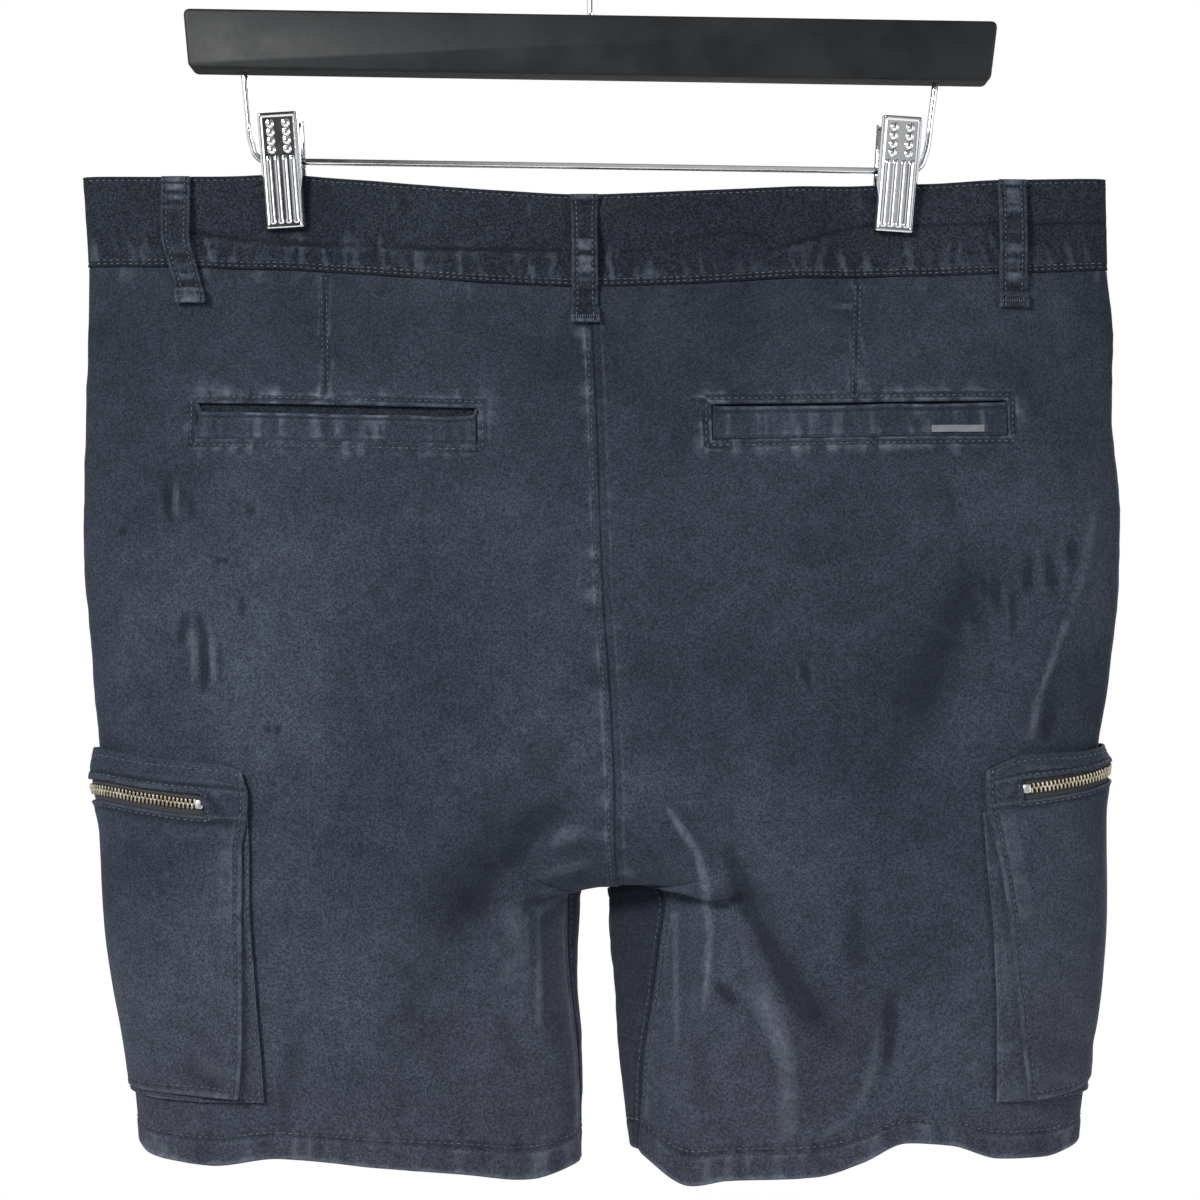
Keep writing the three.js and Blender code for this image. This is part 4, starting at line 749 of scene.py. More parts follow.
def panel_grid(side, face):
    """Middle surface of a panel, with its wear and painted shade, down to the hem."""
    count = PANEL_COLUMNS[face]
    rows = np.linspace(GAP / 2 / PANEL_HEIGHT, 1 - HEM_CURL / PANEL_HEIGHT, PANEL_ROWS)
    even = np.linspace(0, 1, count)
    shares = lerp(even, (1 - np.cos(even * math.pi)) / 2, 0.35)
    _, lengths = base_points(side, face, rows, np.zeros(1))
    us = lerp(0.02 / lengths[:, None], 1 - 0.02 / lengths[:, None], shares[None, :])
    points, normals = cloth_points(side, face, rows, us)
    x, drop = points[..., 0], -points[..., 2]
    from_inner = us * lengths[:, None]
    from_outer = (1 - us) * lengths[:, None]
    relief = panel_relief(side, face, x, drop, rows, from_inner, from_outer)
    relief = calm_under_pockets(side, relief, drop, from_outer)
    seam_hold = smooth(from_inner / 1.5) * smooth(from_outer / 1.5) * smooth(rows[:, None] * PANEL_HEIGHT / 2)
    points = points + normals * (relief * seam_hold)[..., None]
    creases = fold_height(CREASES[side, face], x, drop)
    wear_and_painted_shade = ridge_wear_and_hollow_shade(relief) + rubbed_and_painted_shade_places(side, face, x, drop, from_inner, rows)
    # Painted shade in the creases' hollows, and a little rubbed light on their ridges.
    wear_and_painted_shade += np.where(creases < 0, 0.42, 0.12) * creases
    return points, normals, wear_and_painted_shade, us * lengths[:, None], rows * PANEL_HEIGHT


def rubbed_and_painted_shade_places(side, face, x, drop, from_inner, rows):
    """Lighter strokes where seams, welts, hem and the crotch's folds rub, dark seam lines beside them, and painted
    shade in the crotch's fold hollows and on the front's inner leg.
    """
    seed = 91 + 20 * (side == "right") + 40 * (face == "front")
    from_hem = (1 - rows)[:, None] * PANEL_HEIGHT
    strokes = noise(x, drop * 0.3, 5.5, seed) + 0.5 * noise(x, drop * 0.3, 3, seed + 1)
    wear_and_painted_shade = 0.46 * strokes * (hump(from_hem - 6, 9) + 0.7 * hump(rows[:, None] * PANEL_HEIGHT - 3, 6))
    along = noise(drop, x * 0.3, 6.5, seed + 2) + 0.5 * noise(drop, x * 0.3, 3.5, seed + 3)
    rub = 0.36 if side == "left" else 0.18
    wear_and_painted_shade += rub * (along + 0.2) * hump(from_inner - 4, 6)
    wear_and_painted_shade -= 0.9 * hump(from_inner - 0.4, 0.8) + 0.6 * hump(from_hem - HEM_DEPTH + 0.4, 0.9)
    wear_and_painted_shade += (0.34 if side == "left" else 0.1) * hump(from_inner - 3, 1.1)
    # Painted shade on the front's inner leg beside the inseam, where the seat hangs over it.
    if face == "front":
        below = smooth((rows - CROTCH_ROW + 0.03) / 0.05) * (1 - 0.5 * smooth((rows - 0.75) / 0.25))
        wear_and_painted_shade -= 1.15 * below[:, None] * smooth((42 - from_inner) / 26)
    if face == "back":
        off, run = along_line(x, drop, welt_frame(side, 2.6))
        strokes = noise(run, off * 0.2, 5.5, seed + 4) + 0.5 * noise(run, off * 0.3, 2.9, seed + 5)
        wear_and_painted_shade += (0.30 * strokes + 0.10) * hump(off - 2, 5) + 0.22 * hump(off - 1.1, 0.7) - 0.5 * hump(off, 0.6)
        off, run = along_line(x, drop, DARTS[side])
        strokes = noise(run, off * 0.2, 4.6, seed + 6)
        wear_and_painted_shade += 0.24 * strokes * hump(off, 4.5) - 0.5 * hump(off, 0.7)
        # Rubbed light lines, and painted shade lines in the crotch's fold hollows.
        for line, strength, width in RUB_AND_SHADE_LINES[side]:
            off, run = along_line(x, drop, line)
            wear_and_painted_shade += strength * hump(off, width) * (0.75 + 0.35 * noise(run, off, 9, seed + 7))
    return wear_and_painted_shade


def calm_under_pockets(side, relief, drop, from_outer):
    """The cloth under a cargo pocket lies flatter, so that nothing pokes through."""
    under = smooth((90 - from_outer) / 8) * smooth((drop - 414) / 6) * smooth((592 - drop) / 6)
    return relief * (1 - 0.85 * under) - 0.35 * under


def ridge_wear_and_hollow_shade(relief, rub=0.35):
    """Ridges rub a little lighter (wear) and hollows get painted shade: both from the bend of the fine heights."""
    bend = np.zeros_like(relief)
    bend[1:-1, 1:-1] = (
        4 * relief[1:-1, 1:-1] - relief[:-2, 1:-1] - relief[2:, 1:-1] - relief[1:-1, :-2] - relief[1:-1, 2:]
    )
    shade = np.tanh(bend * 2.2)
    return np.where(shade > 0, rub * shade, shade)


# Making of pieces
def linked(name, data):
    piece = bpy.data.objects.new(name, data)
    bpy.context.scene.collection.objects.link(piece)
    return piece


def grid_piece(name, points, across, down, values=None):
    """A grid moved onto points, with a pattern laid on in metres, and worn places and painted shade as an attribute.
    """
    rows, columns = points.shape[:2]
    bm = bmesh.new()
    bmesh.ops.create_grid(bm, x_segments=columns - 1, y_segments=rows - 1, size=1)
    data = bpy.data.meshes.new(name)
    bm.to_mesh(data)
    bm.free()
    flat = np.empty(len(data.vertices) * 3)
    data.vertices.foreach_get("co", flat)
    flat = flat.reshape(-1, 3)
    i = np.rint((flat[:, 1] + 1) / 2 * (rows - 1)).astype(int)
    j = np.rint((flat[:, 0] + 1) / 2 * (columns - 1)).astype(int)
    data.vertices.foreach_set("co", (points[i, j] * MM).ravel())
    corners = np.empty(len(data.loops), int)
    data.loops.foreach_get("vertex_index", corners)
    laid = np.stack(np.broadcast_arrays(across, down), axis=-1)[i, j] * MM
    cloth = data.uv_layers.new(name="cloth")
    cloth.data.foreach_set("uv", laid[corners].ravel())
    wear_and_painted_shade = data.attributes.new("wear_and_painted_shade", "FLOAT", "POINT")
    wear_and_painted_shade.data.foreach_set("value", np.zeros(len(flat)) if values is None else values[i, j].ravel())
    data.polygons.foreach_set("use_smooth", [True] * len(data.polygons))
    data.update()
    return linked(name, data)


def face_outward(piece, outward):
    """Turns a sheet over where its first faces look against the outward directions."""
    data = piece.data
    middle = data.polygons[len(data.polygons) // 2]
    if middle.normal.dot(Vector(outward)) < 0:
        data.flip_normals()


def thicken(piece, thickness, edge=0.0, segments=2):
    wall = piece.modifiers.new("wall", "SOLIDIFY")
    wall.thickness = thickness * MM
    wall.offset = 0
    if edge:
        rim = piece.modifiers.new("rim", "BEVEL")
        rim.width = edge * MM
        rim.segments = segments
        rim.limit_method = "ANGLE"
        rim.angle_limit = math.radians(50)


def finished(piece, material, slot, *nodes, body=BODY):
    piece.data.materials.clear()
    piece.data.materials.append(material)
    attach(piece, body)
    if nodes:
        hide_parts(*nodes)
    return piece


# Materials
def socket(tree, node, name, value=None, source=None):
    if source is not None:
        tree.links.new(source, node.inputs[name])
    else:
        node.inputs[name].default_value = value


def plain(name, color, roughness, metallic=0.0):
    material = bpy.data.materials.new(name)
    material.use_nodes = True
    shader = material.node_tree.nodes["Principled BSDF"]
    shader.inputs["Base Color"].default_value = (*color, 1)
    shader.inputs["Roughness"].default_value = roughness
    shader.inputs["Metallic"].default_value = metallic
    return material


def noise_node(tree, source, scale, detail, roughness=0.5):
    node = tree.nodes.new("ShaderNodeTexNoise")
    node.inputs["Scale"].default_value = scale
    node.inputs["Detail"].default_value = detail
    node.inputs["Roughness"].default_value = roughness
    tree.links.new(source, node.inputs["Vector"])
    return node.outputs["Fac"]


def stretch(tree, source, low, high, out_low=0.0, out_high=1.0):
    node = tree.nodes.new("ShaderNodeMapRange")
    node.inputs["From Min"].default_value = low
    node.inputs["From Max"].default_value = high
    node.inputs["To Min"].default_value = out_low
    node.inputs["To Max"].default_value = out_high
    tree.links.new(source, node.inputs["Value"])
    return node.outputs["Result"]


def maths(tree, kind, a, b):
    node = tree.nodes.new("ShaderNodeMath")
    node.operation = kind
    for i, value in enumerate((a, b)):
        if isinstance(value, (int, float)):
            node.inputs[i].default_value = value
        else:
            tree.links.new(value, node.inputs[i])
    return node.outputs[0]


def blend_color(tree, factor, a, b):
    node = tree.nodes.new("ShaderNodeMix")
    node.data_type = "RGBA"
    tree.links.new(factor, node.inputs["Factor"])
    for key, value in (("A", a), ("B", b)):
        target = node.inputs[6 if key == "A" else 7]
        if isinstance(value, tuple):
            target.default_value = (*value, 1)
        else:
            tree.links.new(value, target)
    return node.outputs[2]


def threads(tree, places, squeeze):
    """Flecks drawn out along one way of the weave."""
    shaped = tree.nodes.new("ShaderNodeVectorMath")
    shaped.operation = "MULTIPLY"
    shaped.inputs[1].default_value = squeeze
    tree.links.new(places, shaped.inputs[0])
    return noise_node(tree, shaped.outputs[0], 1800, 1, 0.6)


def twill(name, dark, light, rubbed, hem=None, speckle=0.38):
    """Washed twill: faded patches, flecks, a diagonal weave, rubbed ridges and edges, and painted shade where the
    attribute falls below zero.
    """
    material = bpy.data.materials.new(name)
    material.use_nodes = True
    tree = material.node_tree
    shader = tree.nodes["Principled BSDF"]
    places = tree.nodes.new("ShaderNodeTexCoord").outputs["Object"]
    weave = tree.nodes.new("ShaderNodeUVMap")
    weave.uv_map = "cloth"
    patches = stretch(tree, noise_node(tree, places, 10, 5, 0.62), 0.34, 0.68)
    color = blend_color(tree, patches, dark, light)
    if hem:
        # The colour darkens towards the top, and turns brown in ragged patches towards the hem.
        split = tree.nodes.new("ShaderNodeSeparateXYZ")
        tree.links.new(places, split.inputs[0])
        upper = tree.nodes.new("ShaderNodeVectorMath")
        upper.operation = "SCALE"
        tree.links.new(color, upper.inputs[0])
        tree.links.new(stretch(tree, split.outputs["Z"], -0.20, -0.50, 0.73, 1.05), upper.inputs["Scale"])
        color = upper.outputs[0]
        low = stretch(tree, split.outputs["Z"], -0.47, -0.62, 0.0, 0.85)
        ragged = maths(tree, "MULTIPLY", low, stretch(tree, noise_node(tree, places, 17, 2), 0.3, 0.6, 0.5, 1.0))
        color = blend_color(tree, ragged, color, hem)
    warp = threads(tree, places, (1.0, 1.0, 0.42))
    weft = threads(tree, places, (0.42, 0.6, 1.0))
    flecks = maths(tree, "MULTIPLY", maths(tree, "ADD", warp, weft), 0.5)
    fine = stretch(tree, flecks, 0.42, 0.60, 1 - speckle, 1 + 1.25 * speckle)
    broad = stretch(tree, noise_node(tree, places, 110, 3, 0.6), 0.33, 0.67, 0.88, 1.12)
    grain = tree.nodes.new("ShaderNodeVectorMath")
    grain.operation = "SCALE"
    tree.links.new(color, grain.inputs[0])
    tree.links.new(maths(tree, "MULTIPLY", fine, broad), grain.inputs["Scale"])
    wear_and_painted_shade = tree.nodes.new("ShaderNodeAttribute")
    wear_and_painted_shade.attribute_name = "wear_and_painted_shade"
    broken = stretch(tree, noise_node(tree, places, 420, 3, 0.6), 0.32, 0.66, 0.35, 1.25)
    light_wear = maths(tree, "MULTIPLY", stretch(tree, wear_and_painted_shade.outputs["Fac"], 0.10, 1.0), broken)
    # Below zero the attribute is painted shade: it blends toward a darker navy.
    painted_shade = stretch(tree, wear_and_painted_shade.outputs["Fac"], -0.10, -1.0, 0.0, 0.62)
    color = blend_color(tree, light_wear, grain.outputs[0], rubbed)
    color = blend_color(tree, painted_shade, color, tuple(0.35 * part for part in dark))
    tree.links.new(color, shader.inputs["Base Color"])
    ribs = tree.nodes.new("ShaderNodeTexWave")
    ribs.wave_type = "BANDS"
    ribs.bands_direction = "DIAGONAL"
    ribs.inputs["Scale"].default_value = 330
    ribs.inputs["Distortion"].default_value = 0.6
    ribs.inputs["Detail"].default_value = 1
    tree.links.new(weave.outputs[0], ribs.inputs["Vector"])
    crinkle = noise_node(tree, places, 190, 4, 0.62)
    height = maths(tree, "ADD", maths(tree, "MULTIPLY", ribs.outputs["Fac"], 0.22), crinkle)
    height = maths(tree, "ADD", height, maths(tree, "MULTIPLY", flecks, 0.35))
    bump = tree.nodes.new("ShaderNodeBump")
    bump.inputs["Strength"].default_value = 0.55
    bump.inputs["Distance"].default_value = 0.0006
    tree.links.new(height, bump.inputs["Height"])
    tree.links.new(bump.outputs[0], shader.inputs["Normal"])
    shader.inputs["Roughness"].default_value = 0.94
    shader.inputs["Specular IOR Level"].default_value = 0.14
    shader.inputs["Sheen Weight"].default_value = 0.07
    shader.inputs["Sheen Roughness"].default_value = 0.45
    shader.inputs["Sheen Tint"].default_value = (0.62, 0.70, 0.86, 1)
    return material


def ribbed_tape(name, color):
    """Woven tape with fine ribs along its length."""
    material = plain(name, color, 0.85)
    tree = material.node_tree
    shader = tree.nodes["Principled BSDF"]
    weave = tree.nodes.new("ShaderNodeUVMap")
    weave.uv_map = "cloth"
    ribs = tree.nodes.new("ShaderNodeTexWave")
    ribs.inputs["Scale"].default_value = 260
    ribs.inputs["Distortion"].default_value = 1.2
    tree.links.new(weave.outputs[0], ribs.inputs["Vector"])
    shade = blend_color(tree, ribs.outputs["Fac"], tuple(0.6 * c for c in color), tuple(1.35 * c for c in color))
    tree.links.new(shade, shader.inputs["Base Color"])
    bump = tree.nodes.new("ShaderNodeBump")
    bump.inputs["Strength"].default_value = 0.4
    bump.inputs["Distance"].default_value = 0.0002
    tree.links.new(ribs.outputs["Fac"], bump.inputs["Height"])
    tree.links.new(bump.outputs[0], shader.inputs["Normal"])
    return material


def varied(name, dark, light, scale, rough_low, rough_high, metallic=0.0, dents=0.3, shine=0.5):
    """A hard finish whose colour and gloss wander a little, with small dents."""
    material = plain(name, dark, rough_low, metallic)
    tree = material.node_tree
    shader = tree.nodes["Principled BSDF"]
    places = tree.nodes.new("ShaderNodeTexCoord").outputs["Object"]
    cloud = noise_node(tree, places, scale, 4, 0.6)
    tree.links.new(blend_color(tree, stretch(tree, cloud, 0.35, 0.65), dark, light), shader.inputs["Base Color"])
    tree.links.new(stretch(tree, cloud, 0.3, 0.7, rough_low, rough_high), shader.inputs["Roughness"])
    shader.inputs["Specular IOR Level"].default_value = shine
    bump = tree.nodes.new("ShaderNodeBump")
    bump.inputs["Strength"].default_value = dents
    bump.inputs["Distance"].default_value = 0.0002
    tree.links.new(noise_node(tree, places, scale * 5, 3), bump.inputs["Height"])
    tree.links.new(bump.outputs[0], shader.inputs["Normal"])
    return material


NAVY = (0.0165, 0.0205, 0.0315)
NAVY_FADED = (0.033, 0.041, 0.058)
NAVY_RUBBED = (0.100, 0.118, 0.145)
BAND_NAVY = (0.0075, 0.0095, 0.0145)
BAND_FADED = (0.0145, 0.0175, 0.024)
HEM_BROWN = (0.037, 0.0375, 0.052)

MATERIALS = {
    "panel": twill("panel_twill", NAVY, NAVY_FADED, NAVY_RUBBED, hem=HEM_BROWN),
    "band": twill("band_twill", BAND_NAVY, BAND_FADED, (0.085, 0.100, 0.122), speckle=0.6),
    "pocket": twill("pocket_twill", NAVY, (0.036, 0.043, 0.060), NAVY_RUBBED, hem=HEM_BROWN),
    "thread": varied("navy_thread", (0.026, 0.032, 0.044), (0.078, 0.090, 0.110), 170, 0.75, 0.9),
    "tape": ribbed_tape("zip_tape", (0.016, 0.018, 0.022)),
    "tag": varied("tag_tape", (0.10, 0.105, 0.115), (0.13, 0.135, 0.145), 300, 0.75, 0.85, 0.0, 0.2),
    "teeth": varied("aged_brass", (0.28, 0.235, 0.15), (0.46, 0.42, 0.34), 160, 0.30, 0.5, 1.0),
    "slider": varied("aged_slider", (0.34, 0.31, 0.26), (0.55, 0.52, 0.47), 140, 0.3, 0.5, 1.0),
    "stop": varied("bright_stop", (0.40, 0.40, 0.40), (0.50, 0.50, 0.50), 160, 0.35, 0.5, 1.0),
    "chrome": varied("chrome", (0.66, 0.67, 0.69), (0.76, 0.77, 0.78), 60, 0.05, 0.14, 1.0, 0.1),
    "bar": varied("black_paint", (0.005, 0.006, 0.007), (0.010, 0.011, 0.012), 40, 0.45, 0.60, 0.0, 0.35, 0.22),
    "button": varied("resin", (0.018, 0.021, 0.028), (0.030, 0.034, 0.042), 200, 0.35, 0.5),
}


# Stitching: small rounded threads in joined rows
STITCH = {"length": 2.2, "pitch": 3.0, "width": 0.60, "sink": 0.05}
SEWN = []


def resampled(points, normals, pitch):
    steps = np.linalg.norm(np.diff(points, axis=0), axis=-1)
    along = np.concatenate([[0], np.cumsum(steps)])
    count = max(2, int(along[-1] / pitch))
    at = (np.arange(count) + 0.5) * along[-1] / count
    place = np.stack([np.interp(at, along, points[:, k]) for k in range(3)], axis=-1)
    ahead = np.stack([np.interp(at + 0.4, along, points[:, k]) for k in range(3)], axis=-1)
    out = unit(np.stack([np.interp(at, along, normals[:, k]) for k in range(3)], axis=-1))
    return place, unit(ahead - place + 1e-9), out


def sew(points, normals, lift, length=STITCH["length"], pitch=STITCH["pitch"], width=STITCH["width"], turn=0.0):
    """One row of stitches along a line, lifted to lie on the cloth's face."""
    place, ahead, out = resampled(np.asarray(points), np.asarray(normals), pitch)
    beside = unit(np.cross(out, ahead))
    ahead = unit(ahead * math.cos(turn) + beside * math.sin(turn))
    beside = unit(np.cross(out, ahead))
    place = place + out * (lift - STITCH["sink"])
    SEWN.append((place, ahead, beside, unit(np.cross(ahead, beside)), length, width))


def thread_seed():
    bm = bmesh.new()
    bmesh.ops.create_icosphere(bm, subdivisions=1, radius=0.5)
    bm.verts.ensure_lookup_table()
    seed = np.array([v.co[:] for v in bm.verts])
    faces = np.array([[v.index for v in f.verts] for f in bm.faces])
    bm.free()
    return seed, faces


def copies_piece(name, seed, faces, frames):
    """Many copies of one small shape as one joined mesh. Frames are places and three scaled axes."""
    places, xs, ys, zs = frames
    points = (
        places[:, None, :]
        + seed[None, :, 0:1] * xs[:, None, :]
        + seed[None, :, 1:2] * ys[:, None, :]
        + seed[None, :, 2:3] * zs[:, None, :]
    )
    shifted = faces[None, :, :] + (np.arange(len(places)) * len(seed))[:, None, None]
    data = bpy.data.meshes.new(name)
    data.from_pydata((points.reshape(-1, 3) * MM).tolist(), [], shifted.reshape(-1, faces.shape[1]).tolist())
    data.polygons.foreach_set("use_smooth", [True] * len(data.polygons))
    data.update()
    return linked(name, data)


def make_stitching(name):
    seed, faces = thread_seed()
    places = np.concatenate([row[0] for row in SEWN])
    xs = np.concatenate([row[1] * row[4] for row in SEWN])
    ys = np.concatenate([row[2] * row[5] for row in SEWN])
    zs = np.concatenate([row[3] * row[5] * 0.8 for row in SEWN])
    SEWN.clear()
    piece = copies_piece(name, seed, faces, (places, xs, ys, zs))
    finished(piece, MATERIALS["thread"], "twill")


# Panels
def hem_turned_in(points, normals):
    """Rows that carry the hem round its edge and up inside the leg."""
    last, above = points[-1], points[-2]
    down = unit(last - above)
    outward = normals[-1]
    rows = []
    for angle in (45, 90, 135, 180):
        turn = math.radians(angle)
        rows.append(last + down * HEM_CURL * math.sin(turn) - outward * HEM_CURL * (1 - math.cos(turn)))
    inner_rows = []
    step = (HEM_DEPTH - 1) / HEM_CELLS
    for n in range(1, HEM_CELLS + 1):
        back_up = int(round(n * step / (PANEL_HEIGHT / PANEL_ROWS)))
        inner_rows.append(points[-1 - back_up] - normals[-1 - back_up] * 2 * HEM_CURL)
    return np.array(rows + inner_rows)


def row_line(points, normals, row):
    """A line along the columns at a row that may lie between two."""
    i = int(row)
    k = row - i
    return lerp(points[i], points[i + 1], k), lerp(normals[i], normals[i + 1], k)


def inset_line(points, normals, distance, first, last, from_end=False):
    """A line down the rows at a distance from the inner or the outer end."""
    path, outs = [], []
    for line, out in zip(points[first:last], normals[first:last]):
        if from_end:
            line, out = line[::-1], out[::-1]
        along = np.concatenate([[0], np.cumsum(np.linalg.norm(np.diff(line, axis=0), axis=-1))])
        path.append([np.interp(distance, along, line[:, k]) for k in range(3)])
        outs.append([np.interp(distance, along, out[:, k]) for k in range(3)])
    return np.array(path), np.array(outs)


FACE_LIFT = CLOTH / 2 + 0.12


def panel_piece(side, face):
    points, normals, wear_and_painted_shade, across, down = panel_grid(side, face)
    SURFACES[side, face] = (points, normals)
    tail = hem_turned_in(points, normals)
    grown = np.concatenate([points, tail])
    across = np.concatenate([across, np.repeat(across[-1:], len(tail), axis=0)])
    below = down[-1] + np.arange(1, len(tail) + 1) * 1.8
    wear_and_shade_rows = np.concatenate([wear_and_painted_shade, np.zeros(tail.shape[:2])])
    wear_and_shade_rows[PANEL_ROWS - 1:PANEL_ROWS + 2] += 0.55
    long_down = np.concatenate([down, below])[:, None] + 0 * across
    piece = grid_piece(f"{face}_{side}_cloth", grown, across, long_down, wear_and_shade_rows)
    middle = normals[PANEL_ROWS // 2, normals.shape[1] // 2]
    face_outward(piece, middle)
    if face == "back":
        cut_window(piece, side)
    thicken(piece, CLOTH)
    finished(piece, MATERIALS["panel"], "twill", f"{face}_{side}")
    cell = PANEL_HEIGHT / PANEL_ROWS
    hem = row_line(points, normals, PANEL_ROWS - 1 - (HEM_DEPTH - 1.2) / cell)
    sew(*hem, FACE_LIFT)
    crotch = int(CROTCH_ROW * PANEL_ROWS) - 6
    if side == "left":
        sew(*inset_line(points, normals, 2.6, 2, crotch), FACE_LIFT)
    sew(*inset_line(points, normals, 1.9, crotch + 14, PANEL_ROWS - 6), FACE_LIFT)
    return piece


def cut_window(piece, side):
    """Opens the panel where the back pocket's welt shows."""
    pocket = WELT_POCKETS[side]
    corner0 = Vector((pocket["x0"], 0, -pocket["top0"])) * MM
    corner1 = Vector((pocket["x1"], 0, -pocket["top1"])) * MM
    fall = Vector((0, 0, -pocket["height"])) * MM
    slope = (corner1 - corner0).normalized()
    square = Vector((slope.z, 0, -slope.x))
    planes = [(corner0, Vector((1, 0, 0))), (corner1, Vector((1, 0, 0))), (corner0, square), (corner0 + fall, square)]
    bm = bmesh.new()
    bm.from_mesh(piece.data)

    def near(place, margin):
        inside_x = corner0.x - margin < place.x < corner1.x + margin
        t = (place.x - corner0.x) / (corner1.x - corner0.x)
        top = corner0.z + (corner1.z - corner0.z) * t
        return inside_x and top + fall.z - margin < place.z < top + margin

    for place, square_to in planes:
        faces = [f for f in bm.faces if near(f.calc_center_median(), 4 * MM)]
        parts = list({item for f in faces for item in (*f.edges, *f.verts)}) + faces
        bmesh.ops.bisect_plane(bm, geom=parts, plane_co=place, plane_no=square_to)
    inside = [f for f in bm.faces if near(f.calc_center_median(), 0)]
    bmesh.ops.delete(bm, geom=inside, context="FACES")
    bm.to_mesh(piece.data)
    bm.free()


# Touching the made cloth from outside
SURFACES = {}
SKINS = {}


def skin_tree(grids):
    verts, faces = [], []
    for points in grids:
        rows, columns = points.shape[:2]
        start = len(verts)
        verts.extend(map(tuple, points.reshape(-1, 3)))
        corner = start + np.arange(rows * columns).reshape(rows, columns)
        quads = np.stack([corner[:-1, :-1], corner[:-1, 1:], corner[1:, 1:], corner[1:, :-1]], axis=-1)
        faces.extend(quads.reshape(-1, 4).tolist())
    return BVHTree.FromPolygons(verts, faces)


def touch(face, xs, drops):
    """Points of the made cloth at places across and down, found straight in from outside."""
    tree = SKINS[face]
    sign = -1 if face == "back" else 1
    found = []
    last = Vector((0, sign * 10, 0))
    for x, drop in zip(np.ravel(xs), np.ravel(drops)):
        hit = tree.ray_cast(Vector((x, sign * 120, -drop)), Vector((0, -sign, 0)))[0]
        if hit is None:
            hit = tree.find_nearest(Vector((x, last.y, -drop)))[0]
        found.append(hit[:])
        last = hit
    return np.array(found).reshape(*np.shape(xs), 3)


def grid_normals(points, outward):
    down = np.gradient(points, axis=0)
    across = np.gradient(points, axis=1)
    normals = unit(np.cross(down, across))
    middle = normals[points.shape[0] // 2, points.shape[1] // 2]
    return normals if np.dot(middle, outward) > 0 else -normals


def softened(points, times):
    """Evens a grid of points out, so that what lies on the cloth spans its fine dips."""
    for _ in range(times):
        padded = np.pad(points, ((1, 1), (1, 1), (0, 0)), mode="edge")
        mean = (padded[:-2, 1:-1] + padded[2:, 1:-1] + padded[1:-1, :-2] + padded[1:-1, 2:]) / 4
        points = np.concatenate([points[..., :1], mean[..., 1:2], points[..., 2:]], axis=-1)
    return points


def sew_on(face, line, spacing=2.0, **options):
    """A row of stitches along a line given across and down, laid on the made cloth."""
    line = np.array(line, float)
    steps = np.hypot(*np.diff(line, axis=0).T)
    along = np.concatenate([[0], np.cumsum(steps)])
    at = np.arange(0, along[-1], spacing)
    xs, drops = np.interp(at, along, line[:, 0]), np.interp(at, along, line[:, 1])
    points = touch(face, xs, drops)
    nearby = touch(face, xs + 1.5, drops)
    below = touch(face, xs, drops + 1.5)
    normals = unit(np.cross(below - points, nearby - points))
    outward = -1 if face == "back" else 1
    normals = normals * np.sign(normals[:, 1:2] * outward)
    sew(points, normals, FACE_LIFT, **options)


# Back pockets
def pocket_patch(side, x0, x1, drops_at, columns, rows):
    xs = np.linspace(x0, x1, columns)
    shares = np.linspace(0, 1, rows)
    grid_x = np.repeat(xs[None, :], rows, axis=0)
    grid_drop = np.stack([lerp(drops_at(xs)[0], drops_at(xs)[1], k) for k in shares])
    points = softened(touch("back", grid_x, grid_drop), 3)
    return points, grid_normals(points, (0, -1, 0)), grid_x, grid_drop, shares


def welt_piece(side):
    """A folded welt: full along its top fold, drooping in the middle, ribbed by its puckers."""
    pocket = WELT_POCKETS[side]
    seed = 301 if side == "left" else 331
    droop = 1.0 if side == "left" else 0.35

    def drops(xs):
        top = pocket_top(pocket, xs) + GAP
        share = (xs - pocket["x0"]) / (pocket["x1"] - pocket["x0"])
        sag = pocket["slit"] + droop * (np.sin(math.pi * share) * 1.6 + 0.9 * noise(xs, 0 * xs, 22, seed))
        sag = sag * smooth(share / 0.012) * smooth((1 - share) / 0.012)
        return top + np.maximum(0.1, sag), pocket_top(pocket, xs) + pocket["height"] - GAP

    points, normals, xs, down, shares = pocket_patch(side, pocket["x0"] + GAP, pocket["x1"] - GAP, drops, 150, 16)
    k = shares[:, None]
    strokes = noise(xs, down * 0.2, 5.0, seed + 1) + 0.6 * noise(xs, down * 0.2, 2.8, seed + 2)
    height = 0.55 * strokes * (0.35 + 0.65 * np.sin(math.pi * np.clip(k * 1.05, 0, 1)))
    height = height + 0.25 - 0.7 * hump(k - 1, 0.10) - 0.35 * hump(k - 0.16, 0.07)
    height = height + 0.5 * hump(k, 0.12)
    points = points + normals * (0.35 + height)[..., None]
    piece = grid_piece(f"welt_{side}", points, xs - pocket["x0"], down, ridge_wear_and_hollow_shade(height * 1.2) + 0.34 * strokes + 0.3 * hump(k, 0.07))
    face_outward(piece, (0, -1, 0))
    thicken(piece, WELT_CLOTH, 0.55)
    return finished(piece, MATERIALS["panel"], "twill", f"back_welt_{side}")


def facing_piece(side):
    """The pocket facing that shows dark in the slit above the welt."""
    pocket = WELT_POCKETS[side]

    def drops(xs):
        return pocket_top(pocket, xs) - 7, pocket_top(pocket, xs) + pocket["height"] + 7

    ends = (pocket["x0"] - 7, pocket["x1"] + 7)
    points, normals, xs, down, _ = pocket_patch(side, *ends, drops, 70, 16)
    points = points - normals * 2.4
    piece = grid_piece(f"pocket_facing_{side}", points, xs - ends[0], down)
    face_outward(piece, (0, -1, 0))
    thicken(piece, THIN_CLOTH)
    return finished(piece, MATERIALS["band"], "band_twill", f"back_facing_{side}")


